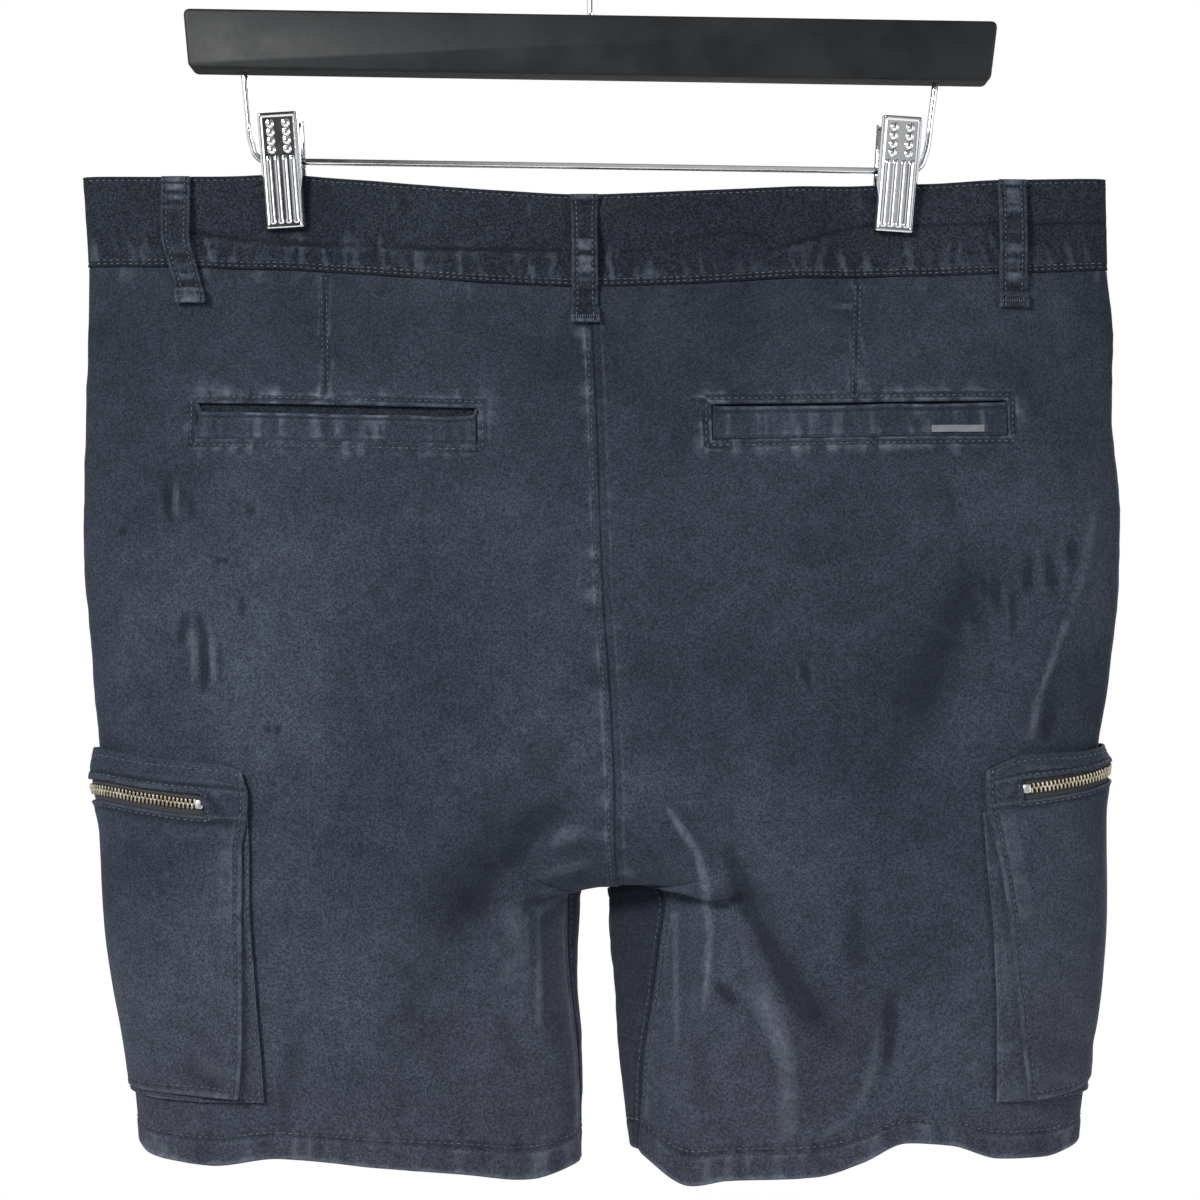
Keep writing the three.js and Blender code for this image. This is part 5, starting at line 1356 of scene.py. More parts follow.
def tag_piece():
    """The plain edge of a folded tape that peeps out over the right welt."""
    pocket = WELT_POCKETS["right"]

    def drops(xs):
        foot = pocket_top(pocket, xs) + pocket["height"] - 1.6
        return foot - 3.2, foot

    points, normals, xs, down, _ = pocket_patch("right", 152, 176, drops, 30, 7)
    points = points + normals * 2.1
    piece = grid_piece("tape_edge", points, xs - 152, down)
    face_outward(piece, (0, -1, 0))
    thicken(piece, 0.7, 0.2)
    return finished(piece, MATERIALS["tag"], "tag_cloth", "back_tag")


def sew_back_details():
    for side in ("left", "right"):
        sew_on("back", welt_frame(side, 2.6))
        dart = np.array(DARTS[side])
        sew_on("back", dart + [1.2, 0])
        sew_on("back", dart - [1.2, 0], length=1.8, pitch=2.8)


# Waistband
BAND_ROWS = 30
OVERLAP = {"start": -26, "level": -4, "end": 22}


def band_quarter(side, face, count, backwards):
    us = np.linspace(0, 1, count)
    us = lerp(us, (1 - np.cos(us * math.pi)) / 2, 0.3)
    rows = np.linspace(-1, -GAP / 2 / (SEAM_LEVEL - WAIST_TOP), BAND_ROWS)
    points, normals = cloth_points(side, face, rows, us)
    if backwards:
        return points[:, ::-1], normals[:, ::-1]
    return points, normals


def waistband_piece():
    """One strip from the under end at the centre front round the back to the end that laps over it."""
    quarters = [
        band_quarter("right", "front", 130, False),
        band_quarter("right", "back", 150, True),
        band_quarter("left", "back", 150, False),
        band_quarter("left", "front", 130, True),
    ]
    joined = [quarters[0]] + [(p[:, 1:], n[:, 1:]) for p, n in quarters[1:]]
    points = np.concatenate([p for p, _ in joined], axis=1)
    normals = np.concatenate([n for _, n in joined], axis=1)
    under = quarters[0][0]
    inside = under[0, :, 0] <= OVERLAP["end"]
    last = max(2, int(inside.sum()))
    points = np.concatenate([points, quarters[0][0][:, 1:last]], axis=1)
    normals = np.concatenate([normals, quarters[0][1][:, 1:last]], axis=1)
    columns = points.shape[1]
    lap_from = columns - last - 128
    x = points[..., 0]
    lapping = smooth((x - OVERLAP["start"]) / (OVERLAP["level"] - OVERLAP["start"]))
    lapping = np.where(np.arange(columns)[None, :] >= lap_from, lapping, 0)
    steps = np.linalg.norm(np.diff(points[BAND_ROWS // 2], axis=0), axis=-1)
    along = np.concatenate([[0], np.cumsum(steps)])[None, :] + 0 * x
    v = np.linspace(0, 1, BAND_ROWS)[:, None] + 0 * x
    drop = -points[..., 2]
    lean = along + 5 * v + 1.6 * noise(along, drop, 9, 403)
    strokes = 0.7 * noise(lean, drop * 0.16, 4.6, 401) + 0.6 * noise(lean, drop * 0.12, 2.5, 402)
    strokes = strokes * (0.75 + 0.5 * noise(along, 0 * along, 30, 406))
    reach = 0.52 + 0.10 * noise(along, 0 * along, 8, 407)
    low = smooth((v - reach) / 0.28) * smooth((1.02 - v) / 0.10)
    high = hump(v - 0.20, 0.16)
    height = 0.46 * strokes * low + 0.26 * strokes * high + 0.30 * noise(along, drop * 2, 21, 404)
    height -= 0.45 * hump(v - 0.045, 0.02) + 0.40 * hump(v - 0.965, 0.016) + 0.3 * hump(v - 0.925, 0.016)
    if_back = np.where(normals[..., 1] < 0, 1, 0)
    crease_shade = 0 * height
    for line in BAND_CREASES:
        off, _ = along_line(x, drop, line)
        fade = 0.55 + 0.45 * noise(along, 0 * along, 19, 405)
        height += if_back * fade * (-0.9 * hump(off, 1.3) + 0.2 * hump(off - 3, 2))
        crease_shade = crease_shade + if_back * fade * hump(off, 1.0)
    lift = lapping * (BAND_CLOTH + GAP)
    points = points + normals * (height * 0.9 + lift)[..., None]
    SURFACES["band"] = (points, normals)
    wear_and_painted_shade = ridge_wear_and_hollow_shade(height * 1.3, 0.10) + 0.16 * hump(v, 0.03) + 0.40 * low * (strokes + 0.42) + 0.2 * high * strokes
    # A dark seam line along the band's foot, and painted shade in the band's creases.
    wear_and_painted_shade += -0.5 * hump(v - 1, 0.02) - 0.55 * crease_shade
    piece = grid_piece("waistband_cloth", points, along, v * 42, wear_and_painted_shade)
    middle = normals[BAND_ROWS // 2, columns // 2]
    face_outward(piece, middle) if abs(middle[1]) > 0.3 else None
    thicken(piece, BAND_CLOTH, 0.8)
    finished(piece, MATERIALS["band"], "band_twill", "waistband")
    for row in (0.045, 0.925, 0.965):
        sew(*row_line(points, normals, row * (BAND_ROWS - 1)), BAND_CLOTH / 2 + 0.08)
    return piece


# Belt loops: top and foot across, and how far the foot lies below the waist seam
LOOP = {"width": 12.4, "bow": 2.6, "free": 0.86}
LOOPS = {
    "belt_loop_back_left": {"face": "back", "top": -190, "foot": -183.2, "below": 16.8, "kink": 0.62},
    "belt_loop_back_centre": {"face": "back", "top": -4.2, "foot": -3.6, "below": 16.8, "kink": 0},
    "belt_loop_back_right": {"face": "back", "top": 190.5, "foot": 191, "below": 16, "kink": 0},
    "belt_loop_front_left": {"face": "front", "top": -110, "foot": -110, "below": 14.5, "kink": 0},
    "belt_loop_front_right": {"face": "front", "top": 112, "foot": 112, "below": 14.5, "kink": 0},
}


def belt_loop_piece(name, loop, seed):
    rows, columns = 56, 13
    top = float(follow(WAIST, "x", "top", loop["top"])) + 0.5
    foot = float(follow(WAIST, "x", "seam", loop["foot"])) + loop["below"]
    k = np.linspace(0, 1, rows)[:, None] + np.zeros((1, columns))
    edge = np.linspace(-0.5, 0.5, columns)[None, :] + 0 * k
    lean = smooth((k - loop["kink"] * 0.7) / (1 - loop["kink"] * 0.7)) if loop["kink"] else k
    width = LOOP["width"] * (1 + 0.06 * noise(k * 60, 0 * k, 14, seed) + 0.12 * smooth((k - 0.87) / 0.05))
    x = lerp(loop["top"], loop["foot"], lean) + edge * width
    drop = lerp(top, foot, k)
    points = softened(touch(loop["face"], x, drop), 10)
    outward = (0, -1, 0) if loop["face"] == "back" else (0, 1, 0)
    normals = grid_normals(points, outward)
    bow = LOOP["bow"] * np.where(k < LOOP["free"], np.sin(math.pi * np.minimum(1, k / LOOP["free"])) ** 2, 0)
    bars = noise(k * 57, edge * 1.2, 4.4, seed) + 0.5 * noise(k * 57, edge * 3, 2.4, seed + 1)
    height = 0.50 * bars - 0.30 * hump(np.abs(edge) - 0.30, 0.05)
    height += 0.9 * smooth((k - 0.885) / 0.02) + 0.7 * smooth((0.06 - k) / 0.02)
    height -= 0.8 * hump(k - 0.868, 0.012)
    if loop["kink"]:
        height -= 1.1 * hump(k - loop["kink"], 0.05)
    stand = BAND_CLOTH / 2 + GAP + 0.12 + LOOP_CLOTH / 2
    points = points + normals * (stand + bow + height)[..., None]
    wear_and_painted_shade = ridge_wear_and_hollow_shade(height * 1.2, 0.2) + 0.62 * bars * hump(edge, 0.3) + 0.2 * hump(np.abs(edge) - 0.5, 0.05)
    wear_and_painted_shade += 0.5 * hump(k - 0.99, 0.015) + 0.12
    piece = grid_piece(f"{name}_cloth", points, edge * 12.4, k * 57, wear_and_painted_shade)
    face_outward(piece, outward)
    thicken(piece, LOOP_CLOTH, 0.6)
    finished(piece, MATERIALS["band"], "band_twill", name)
    for share in (0.2, 0.8):
        column = share * (columns - 1)
        line, outs = row_line(points.transpose(1, 0, 2), normals.transpose(1, 0, 2), column)
        sew(line, outs, LOOP_CLOTH / 2 + 0.06, length=1.9, pitch=2.6)
    foot_line = row_line(points, normals, 0.955 * (rows - 1))
    sew(*foot_line, LOOP_CLOTH / 2 + 0.1, length=1.5, pitch=1.0, width=0.6, turn=math.pi / 2)
    return piece


# Cargo pockets, wrapped round the outseams. Distances run along the cloth from the pocket's middle line.
POCKET = {"top": 421, "faceDepth": 153, "baseDepth": 156, "gussetStart": 26}
POCKET_SHIFT = {"left": [-5, -9], "right": [5, 10]}
POCKET_WIDTHS = table(["down", "base", "left", "right"], [
    [0, 74, 77, 73],
    [9, 74, 78, 73.5],
    [22, 74, 75.5, 73],
    [30, 73.8, 73, 71.5],
    [37, 73.5, 71, 70],
    [60, 72.4, 69.8, 66.6],
    [90, 71, 67.4, 64],
    [120, 69, 63.4, 60],
    [145, 67, 58.6, 55.5],
    [161, 66, 54, 53],
])
POCKET_LIFT = table(["down", "middle", "edge"], [
    [0, 2.4, 2.1],
    [9, 5.8, 2.8],
    [18, 8.0, 3.1],
    [24, 7.6, 3.3],
    [40, 6.2, 4.0],
    [80, 6.2, 5.6],
    [115, 4.6, 7.0],
    [135, 3.5, 7.6],
    [153, 2.8, 7.4],
    [170, 2.8, 7.4],
])
# How far the pocket slips down from a level line: at its top edge, its zip and its foot
POCKET_SLIP = {
    "left": table(["along", "top", "zip", "foot"], [
        [-79, 9.5, 5, 0],
        [-70, 5.5, 4.6, 0],
        [-57, 4.1, 4.3, 0],
        [-30, 1.8, 1.5, 0],
        [-5, -1.4, -1.8, 0],
        [15, -0.5, -1, 0],
        [42, 0, 0, 0],
        [66, 1, 0, 0],
        [79, 5, 1, 0],
    ]),
    "right": table(["along", "top", "zip", "foot"], [
        [-79, 10.5, 1, 2.5],
        [-67, 5, -1.2, 2],
        [-55, 0.6, -2.6, 1.5],
        [-30, 0, -6, 0],
        [-5, -2.5, -10.5, -6],
        [15, -1, -6, -4],
        [42, 0, 0, 0],
        [66, 1, 0, 0],
        [79, 5, 1, 0],
    ]),
}
POCKET_EDGE_REACH = 28
ZIP = {"half": 57, "down": 18, "window": 10, "tapeHalf": 8.5, "chain": 4.7, "overrun": 5}


def face_half(side, down):
    return follow(POCKET_WIDTHS, "down", side, down)


def face_lift(side, along, down):
    middle = follow(POCKET_LIFT, "down", "middle", down)
    edge = follow(POCKET_LIFT, "down", "edge", down)
    return lerp(edge, middle, smooth((face_half(side, down) - np.abs(along)) / POCKET_EDGE_REACH))


def slipped(side, along, down):
    top, zip_line, foot = (follow(POCKET_SLIP[side], "along", key, along) for key in ("top", "zip", "foot"))
    upper = lerp(top, zip_line, smooth(down / ZIP["down"]))
    return lerp(upper, foot, smooth((down - 1.3 * ZIP["down"]) / 90))


def wrapped(side, alongs, downs):
    """Points on the leg round the outseam. Each line of alongs has its own down."""
    downs = np.asarray(downs, float)
    rows = (POCKET["top"] + downs - SEAM_LEVEL) / PANEL_HEIGHT
    shift = lerp(POCKET_SHIFT[side][0], POCKET_SHIFT[side][1], downs / POCKET["baseDepth"])
    around = np.asarray(alongs, float) + shift[:, None]
    made = {}
    for face in ("back", "front"):
        _, lengths = base_points(side, face, rows, np.zeros(1))
        us = 1 - np.abs(around) / lengths[:, None]
        made[face] = cloth_points(side, face, rows, us)
    behind = (around < 0)[..., None]
    return np.where(behind, made["back"][0], made["front"][0]), np.where(behind, made["back"][1], made["front"][1])


FACE_CREASES = {
    "left": [
        [-30, 143, -62, 152, 4.5, -1.6],
        [-34, 132, -58, 141, 6, 1.6],
        [-15, 118, -50, 124, 8, -1.0],
        [-62, 30, -40, 34, 3, 0.7],
        [-20, 14, -58, 8, 3, 0.8],
        [-58, 10, -66, 26, 2.5, -0.9],
    ],
    "right": [
        [-24, 150, -56, 138, 4.5, 1.4],
        [-10, 140, -50, 128, 6, -1.2],
        [-20, 96, -50, 92, 5, 0.6],
        [-30, 10, -60, 6, 3, 0.8],
        [-58, 12, -62, 24, 2.5, -0.8],
    ],
}


def mirrored_creases(creases):
    return [[-x0, d0 + 3, -x1, d1 - 2, width * 1.1, height * 0.8] for x0, d0, x1, d1, width, height in creases]


def face_surface(side, along, down):
    """The pocket's face with its fine heights. The arrays are places along and down it."""
    points, normals = wrapped(side, along, down[:, 0])
    points = points - np.stack([0 * along, 0 * along, slipped(side, along, down)], axis=-1)
    creases = FACE_CREASES[side] + mirrored_creases(FACE_CREASES[side])
    seed = 501 if side == "left" else 541
    height = fold_height(creases, along, down) + 0.6 * crumple(along, down, seed)
    from_edge = face_half(side, down) - np.abs(along)
    from_foot = POCKET["faceDepth"] - down
    strokes = noise(down, np.sign(along), 8.0, seed + 3) + 0.5 * noise(down, np.sign(along), 4, seed + 4)
    height += 0.36 * strokes * hump(from_edge - 3, 6) - 0.3 * hump(from_edge - 3.0, 0.9)
    strokes = noise(along, 0 * along, 8.0, seed + 5) + 0.5 * noise(along, 0 * along, 4, seed + 6)
    height += 0.40 * strokes * hump(from_foot - 3, 6) - 0.35 * hump(from_foot - 4.0, 0.9)
    height += 0.30 * strokes * hump(down - 4, 5)
    window = np.abs(down - ZIP["down"])
    height += 0.45 * hump(window - ZIP["window"] / 2 - 0.5, 1.0) - 0.35 * hump(window - ZIP["window"] / 2 - 3, 1.0)
    return points, normals, face_lift(side, along, down), height


def cargo_face_piece(side):
    rows, columns = 92, 92
    down = np.linspace(0, POCKET["faceDepth"], rows)[:, None] + np.zeros((1, columns))
    share = np.linspace(-1, 1, columns)[None, :] + 0 * down
    along = share * face_half(side, down)
    points, normals, lift, height = face_surface(side, along, down)
    points = points + normals * (lift + height)[..., None]
    own = grid_normals(points, normals[rows // 2, columns // 2])
    FACES[side] = (points, own, along, down)
    from_edge = face_half(side, down) - np.abs(along)
    wear_and_painted_shade = ridge_wear_and_hollow_shade(height) + 0.40 * hump(from_edge, 1.4) * (0.6 + noise(down, along, 7, 77))
    wear_and_painted_shade += 0.26 * hump(POCKET["faceDepth"] - down, 1.6) + 0.5 * shine_through(from_edge, down)
    wear_and_painted_shade -= 0.55 * hump(np.abs(down - ZIP["down"]) - ZIP["window"] / 2 - 3, 1.2) * (np.abs(along) < ZIP["half"] + 3)
    piece = grid_piece(f"cargo_face_{side}_cloth", points, along, down, wear_and_painted_shade)
    face_outward_from(piece, own)
    cut_zip_window(piece, along, down)
    thicken(piece, CLOTH, 0.3)
    finished(piece, MATERIALS["pocket"], "twill", f"cargo_face_{side}")
    sew_face(side)
    return piece


def shine_through(from_edge, down):
    """Rubbed patches where the folded edge inside presses out, beside both long edges."""
    inward = smooth((from_edge - 3.4) / 1.2) * smooth((12 - from_edge) / 2)
    patches = smooth((noise(down, 0 * down, 19, 71) + 0.15) / 0.3)
    return 0.5 * inward * patches


def face_outward_from(piece, normals):
    middle = normals[normals.shape[0] // 2, normals.shape[1] // 3]
    data = piece.data
    here = data.polygons[(normals.shape[0] // 2) * (normals.shape[1] - 1) + normals.shape[1] // 3]
    if here.normal.dot(Vector(middle)) < 0:
        data.flip_normals()


def cut_zip_window(piece, along, down):
    """Takes out the slot for the zip, whose rim keeps the grid's own lines."""
    data = piece.data
    rows, columns = along.shape
    bm = bmesh.new()
    bm.from_mesh(data)
    bm.verts.ensure_lookup_table()
    laid = bm.loops.layers.uv["cloth"]
    gone = []
    for f in bm.faces:
        u = sum(loop[laid].uv.x for loop in f.loops) / len(f.loops) / MM
        v = sum(loop[laid].uv.y for loop in f.loops) / len(f.loops) / MM
        if abs(u) < ZIP["half"] and abs(v - ZIP["down"]) < ZIP["window"] / 2:
            gone.append(f)
    bmesh.ops.delete(bm, geom=gone, context="FACES")
    bm.to_mesh(data)
    bm.free()


FACES = {}


def on_face(side, along, down):
    """Points and outward directions on a made pocket face, at places along and down it."""
    points, normals, alongs, downs = FACES[side]
    rows, columns = alongs.shape
    r = np.clip(np.asarray(down, float) / POCKET["faceDepth"] * (rows - 1), 0, rows - 1.001)
    c = (np.asarray(along, float) / face_half(side, down) + 1) / 2 * (columns - 1)
    c = np.clip(c, 0, columns - 1.001)
    i, j = r.astype(int), c.astype(int)
    kr, kc = (r - i)[..., None], (c - j)[..., None]

    def mixed(grid):
        upper = lerp(grid[i, j], grid[i, j + 1], kc)
        lower = lerp(grid[i + 1, j], grid[i + 1, j + 1], kc)
        return lerp(upper, lower, kr)

    return mixed(points), unit(mixed(normals))


def sew_face(side):
    downs = np.linspace(1, POCKET["faceDepth"] - 3, 60)
    for edge in (-1, 1):
        sew(*on_face(side, edge * (face_half(side, downs) - 3.0), downs), FACE_LIFT)
        upright = np.linspace(ZIP["down"] - 8, ZIP["down"] + 8, 10)
        sew(*on_face(side, edge * (ZIP["half"] + 1.8) + 0 * upright, upright), FACE_LIFT)
    across = np.linspace(-1, 1, 60)
    for down in (3.0, POCKET["faceDepth"] - 4.0):
        sew(*on_face(side, across * (face_half(side, down) - 2), down + 0 * across), FACE_LIFT)
    for down in (ZIP["down"] - 7, ZIP["down"] + 7):
        sew(*on_face(side, across * (ZIP["half"] + 1.5), down + 0 * across), FACE_LIFT)


def gusset_outline(column, inset, bottom, count, shift):
    def half(down):
        return follow(POCKET_WIDTHS, "down", column, down) - inset

    downs = np.linspace(POCKET["gussetStart"], bottom, count)
    around = np.linspace(-46, 46, 50)
    squeeze = half(bottom) / follow(POCKET_WIDTHS, "down", "base", POCKET["baseDepth"])
    alongs = np.concatenate([-half(downs), (around - shift) * squeeze, half(downs)[::-1]])
    return alongs, np.concatenate([downs, np.full(50, bottom), downs[::-1]])


def cargo_gusset_piece(side):
    """The bellows from the pocket's base line out to the edge of its face."""
    count = 62
    shift = POCKET_SHIFT[side][1]
    base = gusset_outline("base", 0, POCKET["baseDepth"], count, shift)
    edge = gusset_outline(side, 1.4, POCKET["faceDepth"] - 1.4, count, shift)
    foot, foot_out = wrapped(side, base[0][:, None], base[1])
    low, low_out = wrapped(side, (base[0] + edge[0])[:, None] / 2, (base[1] + edge[1]) / 2)
    foot = foot[:, 0] + foot_out[:, 0] * (CLOTH / 2 + GAP + THIN_CLOTH / 2 + 0.55)
    low = low[:, 0] + low_out[:, 0] * (CLOTH / 2 + GAP + THIN_CLOTH / 2 + 0.3)
    top, top_out = on_face(side, edge[0], edge[1])
    under = top - top_out * (CLOTH / 2 + THIN_CLOTH / 2 + 0.25)
    middle = lerp(low, lerp(foot, under, 0.5), 0.6)
    lines = []
    seed = 601 if side == "left" else 631
    run = np.concatenate([[0], np.cumsum(np.linalg.norm(np.diff(foot, axis=0), axis=-1))])
    for k in np.linspace(0, 1, 11):
        a, b = lerp(foot, middle, k), lerp(middle, under, k)
        point = lerp(a, b, k)
        strokes = noise(run, 0 * run + 20 * k, 5.0, seed) + 0.6 * noise(run, 0 * run + 9 * k, 2.8, seed + 1)
        lines.append(point + foot_out[:, 0] * (0.5 * strokes * math.sin(math.pi * k))[:, None])
    points = np.stack(lines, axis=1)
    width = np.linspace(0, 14, 11)[None, :] + 0 * run[:, None]
    cross = noise(run, 0 * run, 5.0, seed)[:, None]
    wear_and_painted_shade = 0.25 * cross + 0.4 * hump(width, 1.2) + 0 * width
    piece = grid_piece(f"cargo_gusset_{side}_cloth", points, width, run[:, None] + 0 * width, wear_and_painted_shade)
    outward = foot_out[count // 2, 0]
    data = piece.data
    here = data.polygons[(count // 2) * 10 + 5]
    if here.normal.dot(Vector(outward)) < 0:
        data.flip_normals()
    thicken(piece, THIN_CLOTH, 0.25)
    finished(piece, MATERIALS["pocket"], "twill", f"cargo_gusset_{side}")
    normals = grid_normals(points, outward)
    line = points[:, 1] * 0.4 + points[:, 2] * 0.6
    sew(line, foot_out[:, 0], THIN_CLOTH / 2 + 0.1)
    return piece, normals


def zip_tape_piece(side):
    columns, rows = 120, 14
    end = ZIP["half"] + ZIP["overrun"]
    along = np.linspace(-end, end, columns)[None, :] + np.zeros((rows, 1))
    down = np.linspace(ZIP["down"] - ZIP["tapeHalf"], ZIP["down"] + ZIP["tapeHalf"], rows)[:, None] + 0 * along
    points, normals = on_face(side, along, down)
    smooth_points = softened_all(points, 4)
    points = smooth_points - normals * (CLOTH / 2 + GAP + 0.4)
    piece = grid_piece(f"zip_tape_{side}", points, down, along)
    face_outward_from(piece, normals)
    thicken(piece, 0.7)
    finished(piece, MATERIALS["tape"], "zip_tape", f"cargo_zip_{side}")
    ZIP_LINES[side] = (points, normals, along, down)
    return piece


def softened_all(points, times):
    for _ in range(times):
        padded = np.pad(points, ((1, 1), (1, 1), (0, 0)), mode="reflect", reflect_type="odd")
        points = (padded[:-2, 1:-1] + padded[2:, 1:-1] + padded[1:-1, :-2] + padded[1:-1, 2:]) / 4
    return points


ZIP_LINES = {}
TOOTH = {"pitch": 1.95, "width": 0.95, "reach": 2.7, "height": 1.25}


def tooth_seed():
    bm = bmesh.new()
    bmesh.ops.create_cube(bm, size=1)
    bmesh.ops.bevel(bm, geom=bm.edges[:], offset=0.16, segments=1, profile=0.5, affect="EDGES", material=-1)
    bmesh.ops.triangulate(bm, faces=bm.faces[:])
    bm.verts.ensure_lookup_table()
    seed = np.array([v.co[:] for v in bm.verts])
    faces = np.array([[v.index for v in f.verts] for f in bm.faces])
    bm.free()
    return seed, faces


def zip_teeth_piece(side):
    """Two rows of teeth that mesh in turn, from stop to stop."""
    points, normals, alongs, _ = ZIP_LINES[side]
    rows = points.shape[0]
    centre = points[rows // 2 - 1:rows // 2 + 1].mean(axis=0)
    outs = unit(normals[rows // 2])
    run = np.concatenate([[0], np.cumsum(np.linalg.norm(np.diff(centre, axis=0), axis=-1))])
    start = np.interp(-ZIP["half"] + 3.2, alongs[0], run)
    end = np.interp(ZIP["half"] - 1.5, alongs[0], run)
    at = np.arange(start, end, TOOTH["pitch"] / 2)
    place = np.stack([np.interp(at, run, centre[:, k]) for k in range(3)], axis=-1)
    ahead = unit(np.stack([np.interp(at + 0.5, run, centre[:, k]) for k in range(3)], axis=-1) - place)
    out = unit(np.stack([np.interp(at, run, outs[:, k]) for k in range(3)], axis=-1))
    up = unit(np.cross(ahead, out))
    sides = np.where(np.arange(len(at)) % 2 == 0, 1, -1)[:, None]
    place = place + out * (0.35 + TOOTH["height"] / 2) + up * sides * 0.95
    seed, faces = tooth_seed()
    frames = (place, ahead * TOOTH["width"], up * TOOTH["reach"], out * TOOTH["height"])
    piece = copies_piece(f"zip_teeth_{side}", seed, faces, frames)
    finished(piece, MATERIALS["teeth"], "zip_metal")
    stops = []
    for along, reach in ((-ZIP["half"] + 1.2, 4.2), (ZIP["half"] - 0.6, 3.4)):
        at = np.interp(along, alongs[0], run)
        stops.append((at, reach))
    at = np.array([s[0] for s in stops])
    place = np.stack([np.interp(at, run, centre[:, k]) for k in range(3)], axis=-1)
    ahead = unit(np.stack([np.interp(at + 0.5, run, centre[:, k]) for k in range(3)], axis=-1) - place)
    out = unit(np.stack([np.interp(at, run, outs[:, k]) for k in range(3)], axis=-1))
    up = unit(np.cross(ahead, out))
    reach = np.array([[s[1]] for s in stops])
    frames = (place + out * 1.1, ahead * np.array([[3.6], [1.6]]), up * reach, out * 1.6)
    stop = copies_piece(f"zip_stops_{side}", seed, faces, frames)
    finished(stop, MATERIALS["stop"], "zip_metal")


# Front closing
LAP = {"x0": -36, "x1": 5, "depth": 168, "corner": 24, "narrowing": 0.72, "start": 0.5}


def lap_grid(rows, columns):
    k = np.linspace(0, 1, rows)[:, None] + np.zeros((1, columns))
    c = np.linspace(0, 1, columns)[None, :] + 0 * k
    turn = smooth(((k - 1) * LAP["depth"] + LAP["corner"]) / LAP["corner"])
    x = lerp(lerp(LAP["x0"], LAP["x1"], turn * LAP["narrowing"]), LAP["x1"], c)
    drop = follow(WAIST, "x", "seam", x) + LAP["start"] + k * LAP["depth"]
    return x + follow(CENTRE, "drop", "x", drop) - CENTRE["x"][0], drop, k, c


def fly_lap_piece():
    x, drop, k, c = lap_grid(90, 26)
    points = softened(touch("front", x, drop), 6)
    normals = grid_normals(points, (0, 1, 0))
    strokes = noise(drop, 0 * drop, 7, 701)
    height = 0.22 * strokes * hump(c - 1, 0.2) - 0.3 * hump(c - 0.93, 0.03)
    points = points + normals * (CLOTH / 2 + GAP + THIN_CLOTH / 2 + 0.25 + height)[..., None]
    piece = grid_piece("fly_lap_cloth", points, x, drop, ridge_wear_and_hollow_shade(height) + 0.3 * hump(c - 1, 0.03))
    face_outward(piece, (0, 1, 0))
    thicken(piece, THIN_CLOTH, 0.25)
    finished(piece, MATERIALS["panel"], "twill", "fly_lap")
    for share in (0.06, 0.14):
        line, outs = row_line(points.transpose(1, 0, 2), normals.transpose(1, 0, 2), share * 25)
        sew(line, outs, THIN_CLOTH / 2 + 0.08)
    line, outs = row_line(points.transpose(1, 0, 2), normals.transpose(1, 0, 2), 0.93 * 25)
    sew(line, outs, THIN_CLOTH / 2 + 0.08)
    return piece


def button_piece():
    """A four-hole button, turned from its profile, on the lapping end of the waistband."""
    low, high = [np.array(corner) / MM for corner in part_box("waist_button")]
    middle = (low + high) / 2
    radius = (high[0] - low[0]) / 2
    height = (high[1] - low[1]) * 0.92
    profile = [
        (0.0, 0.0), (0.88, 0.0), (0.97, 0.12), (1.0, 0.35), (1.0, 0.72), (0.95, 0.94),
        (0.88, 1.0), (0.80, 0.95), (0.74, 0.70), (0.60, 0.62), (0.0, 0.60),
    ]
    bm = bmesh.new()
    verts = [bm.verts.new((r * radius, 0, h * height)) for r, h in profile]
    edges = [bm.edges.new(pair) for pair in zip(verts, verts[1:])]
    bmesh.ops.spin(
        bm, geom=verts + edges, cent=(0, 0, 0), axis=(0, 0, 1), angle=2 * math.pi, steps=48, use_merge=True
    )
    bmesh.ops.remove_doubles(bm, verts=bm.verts, dist=0.01)
    bmesh.ops.recalc_face_normals(bm, faces=bm.faces)
    turn = Matrix.Rotation(-math.pi / 2, 4, "X")
    bmesh.ops.transform(bm, matrix=turn, verts=bm.verts)
    bmesh.ops.translate(bm, verts=bm.verts, vec=(middle[0], low[1] + 0.05, middle[2]))
    bmesh.ops.scale(bm, vec=(MM, MM, MM), verts=bm.verts)
    data = bpy.data.meshes.new("button")
    bm.to_mesh(data)
    bm.free()
    data.polygons.foreach_set("use_smooth", [True] * len(data.polygons))
    piece = linked("button", data)
    finished(piece, MATERIALS["button"], "button_resin", "waist_button")
    hole = 1.9
    spots = [(-hole, -hole), (hole, -hole), (hole, hole), (-hole, hole)]
    face = low[1] + 0.05 + height * 0.6
    for (xa, za), (xb, zb) in ((spots[0], spots[2]), (spots[1], spots[3])):
        a = np.array([middle[0] + xa, face, middle[2] + za])
        b = np.array([middle[0] + xb, face, middle[2] + zb])
        for side in (-0.35, 0.35):
            shift = np.array([side, 0, side])
            sew([a + shift, b + shift], [(0, 1, 0), (0, 1, 0)], 0.25, length=5.6, pitch=5.6, width=0.6)
    return piece


def buttonhole():
    """Close stitches round the slot beside the button."""
    low, high = [np.array(corner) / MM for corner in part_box("waist_button")]
    middle = (low + high) / 2
    for rise in (-1.1, 1.1):
        xs = np.linspace(middle[0] - 11, middle[0] + 12, 12)
        drops = np.full(12, -(middle[2] + rise))
        points = touch("front", xs, drops)
        normals = np.tile([[0, 1, 0]], (12, 1))
        sew(points, normals, BAND_CLOTH / 2 + 0.1, length=1.7, pitch=0.9, width=0.45, turn=math.pi / 2)


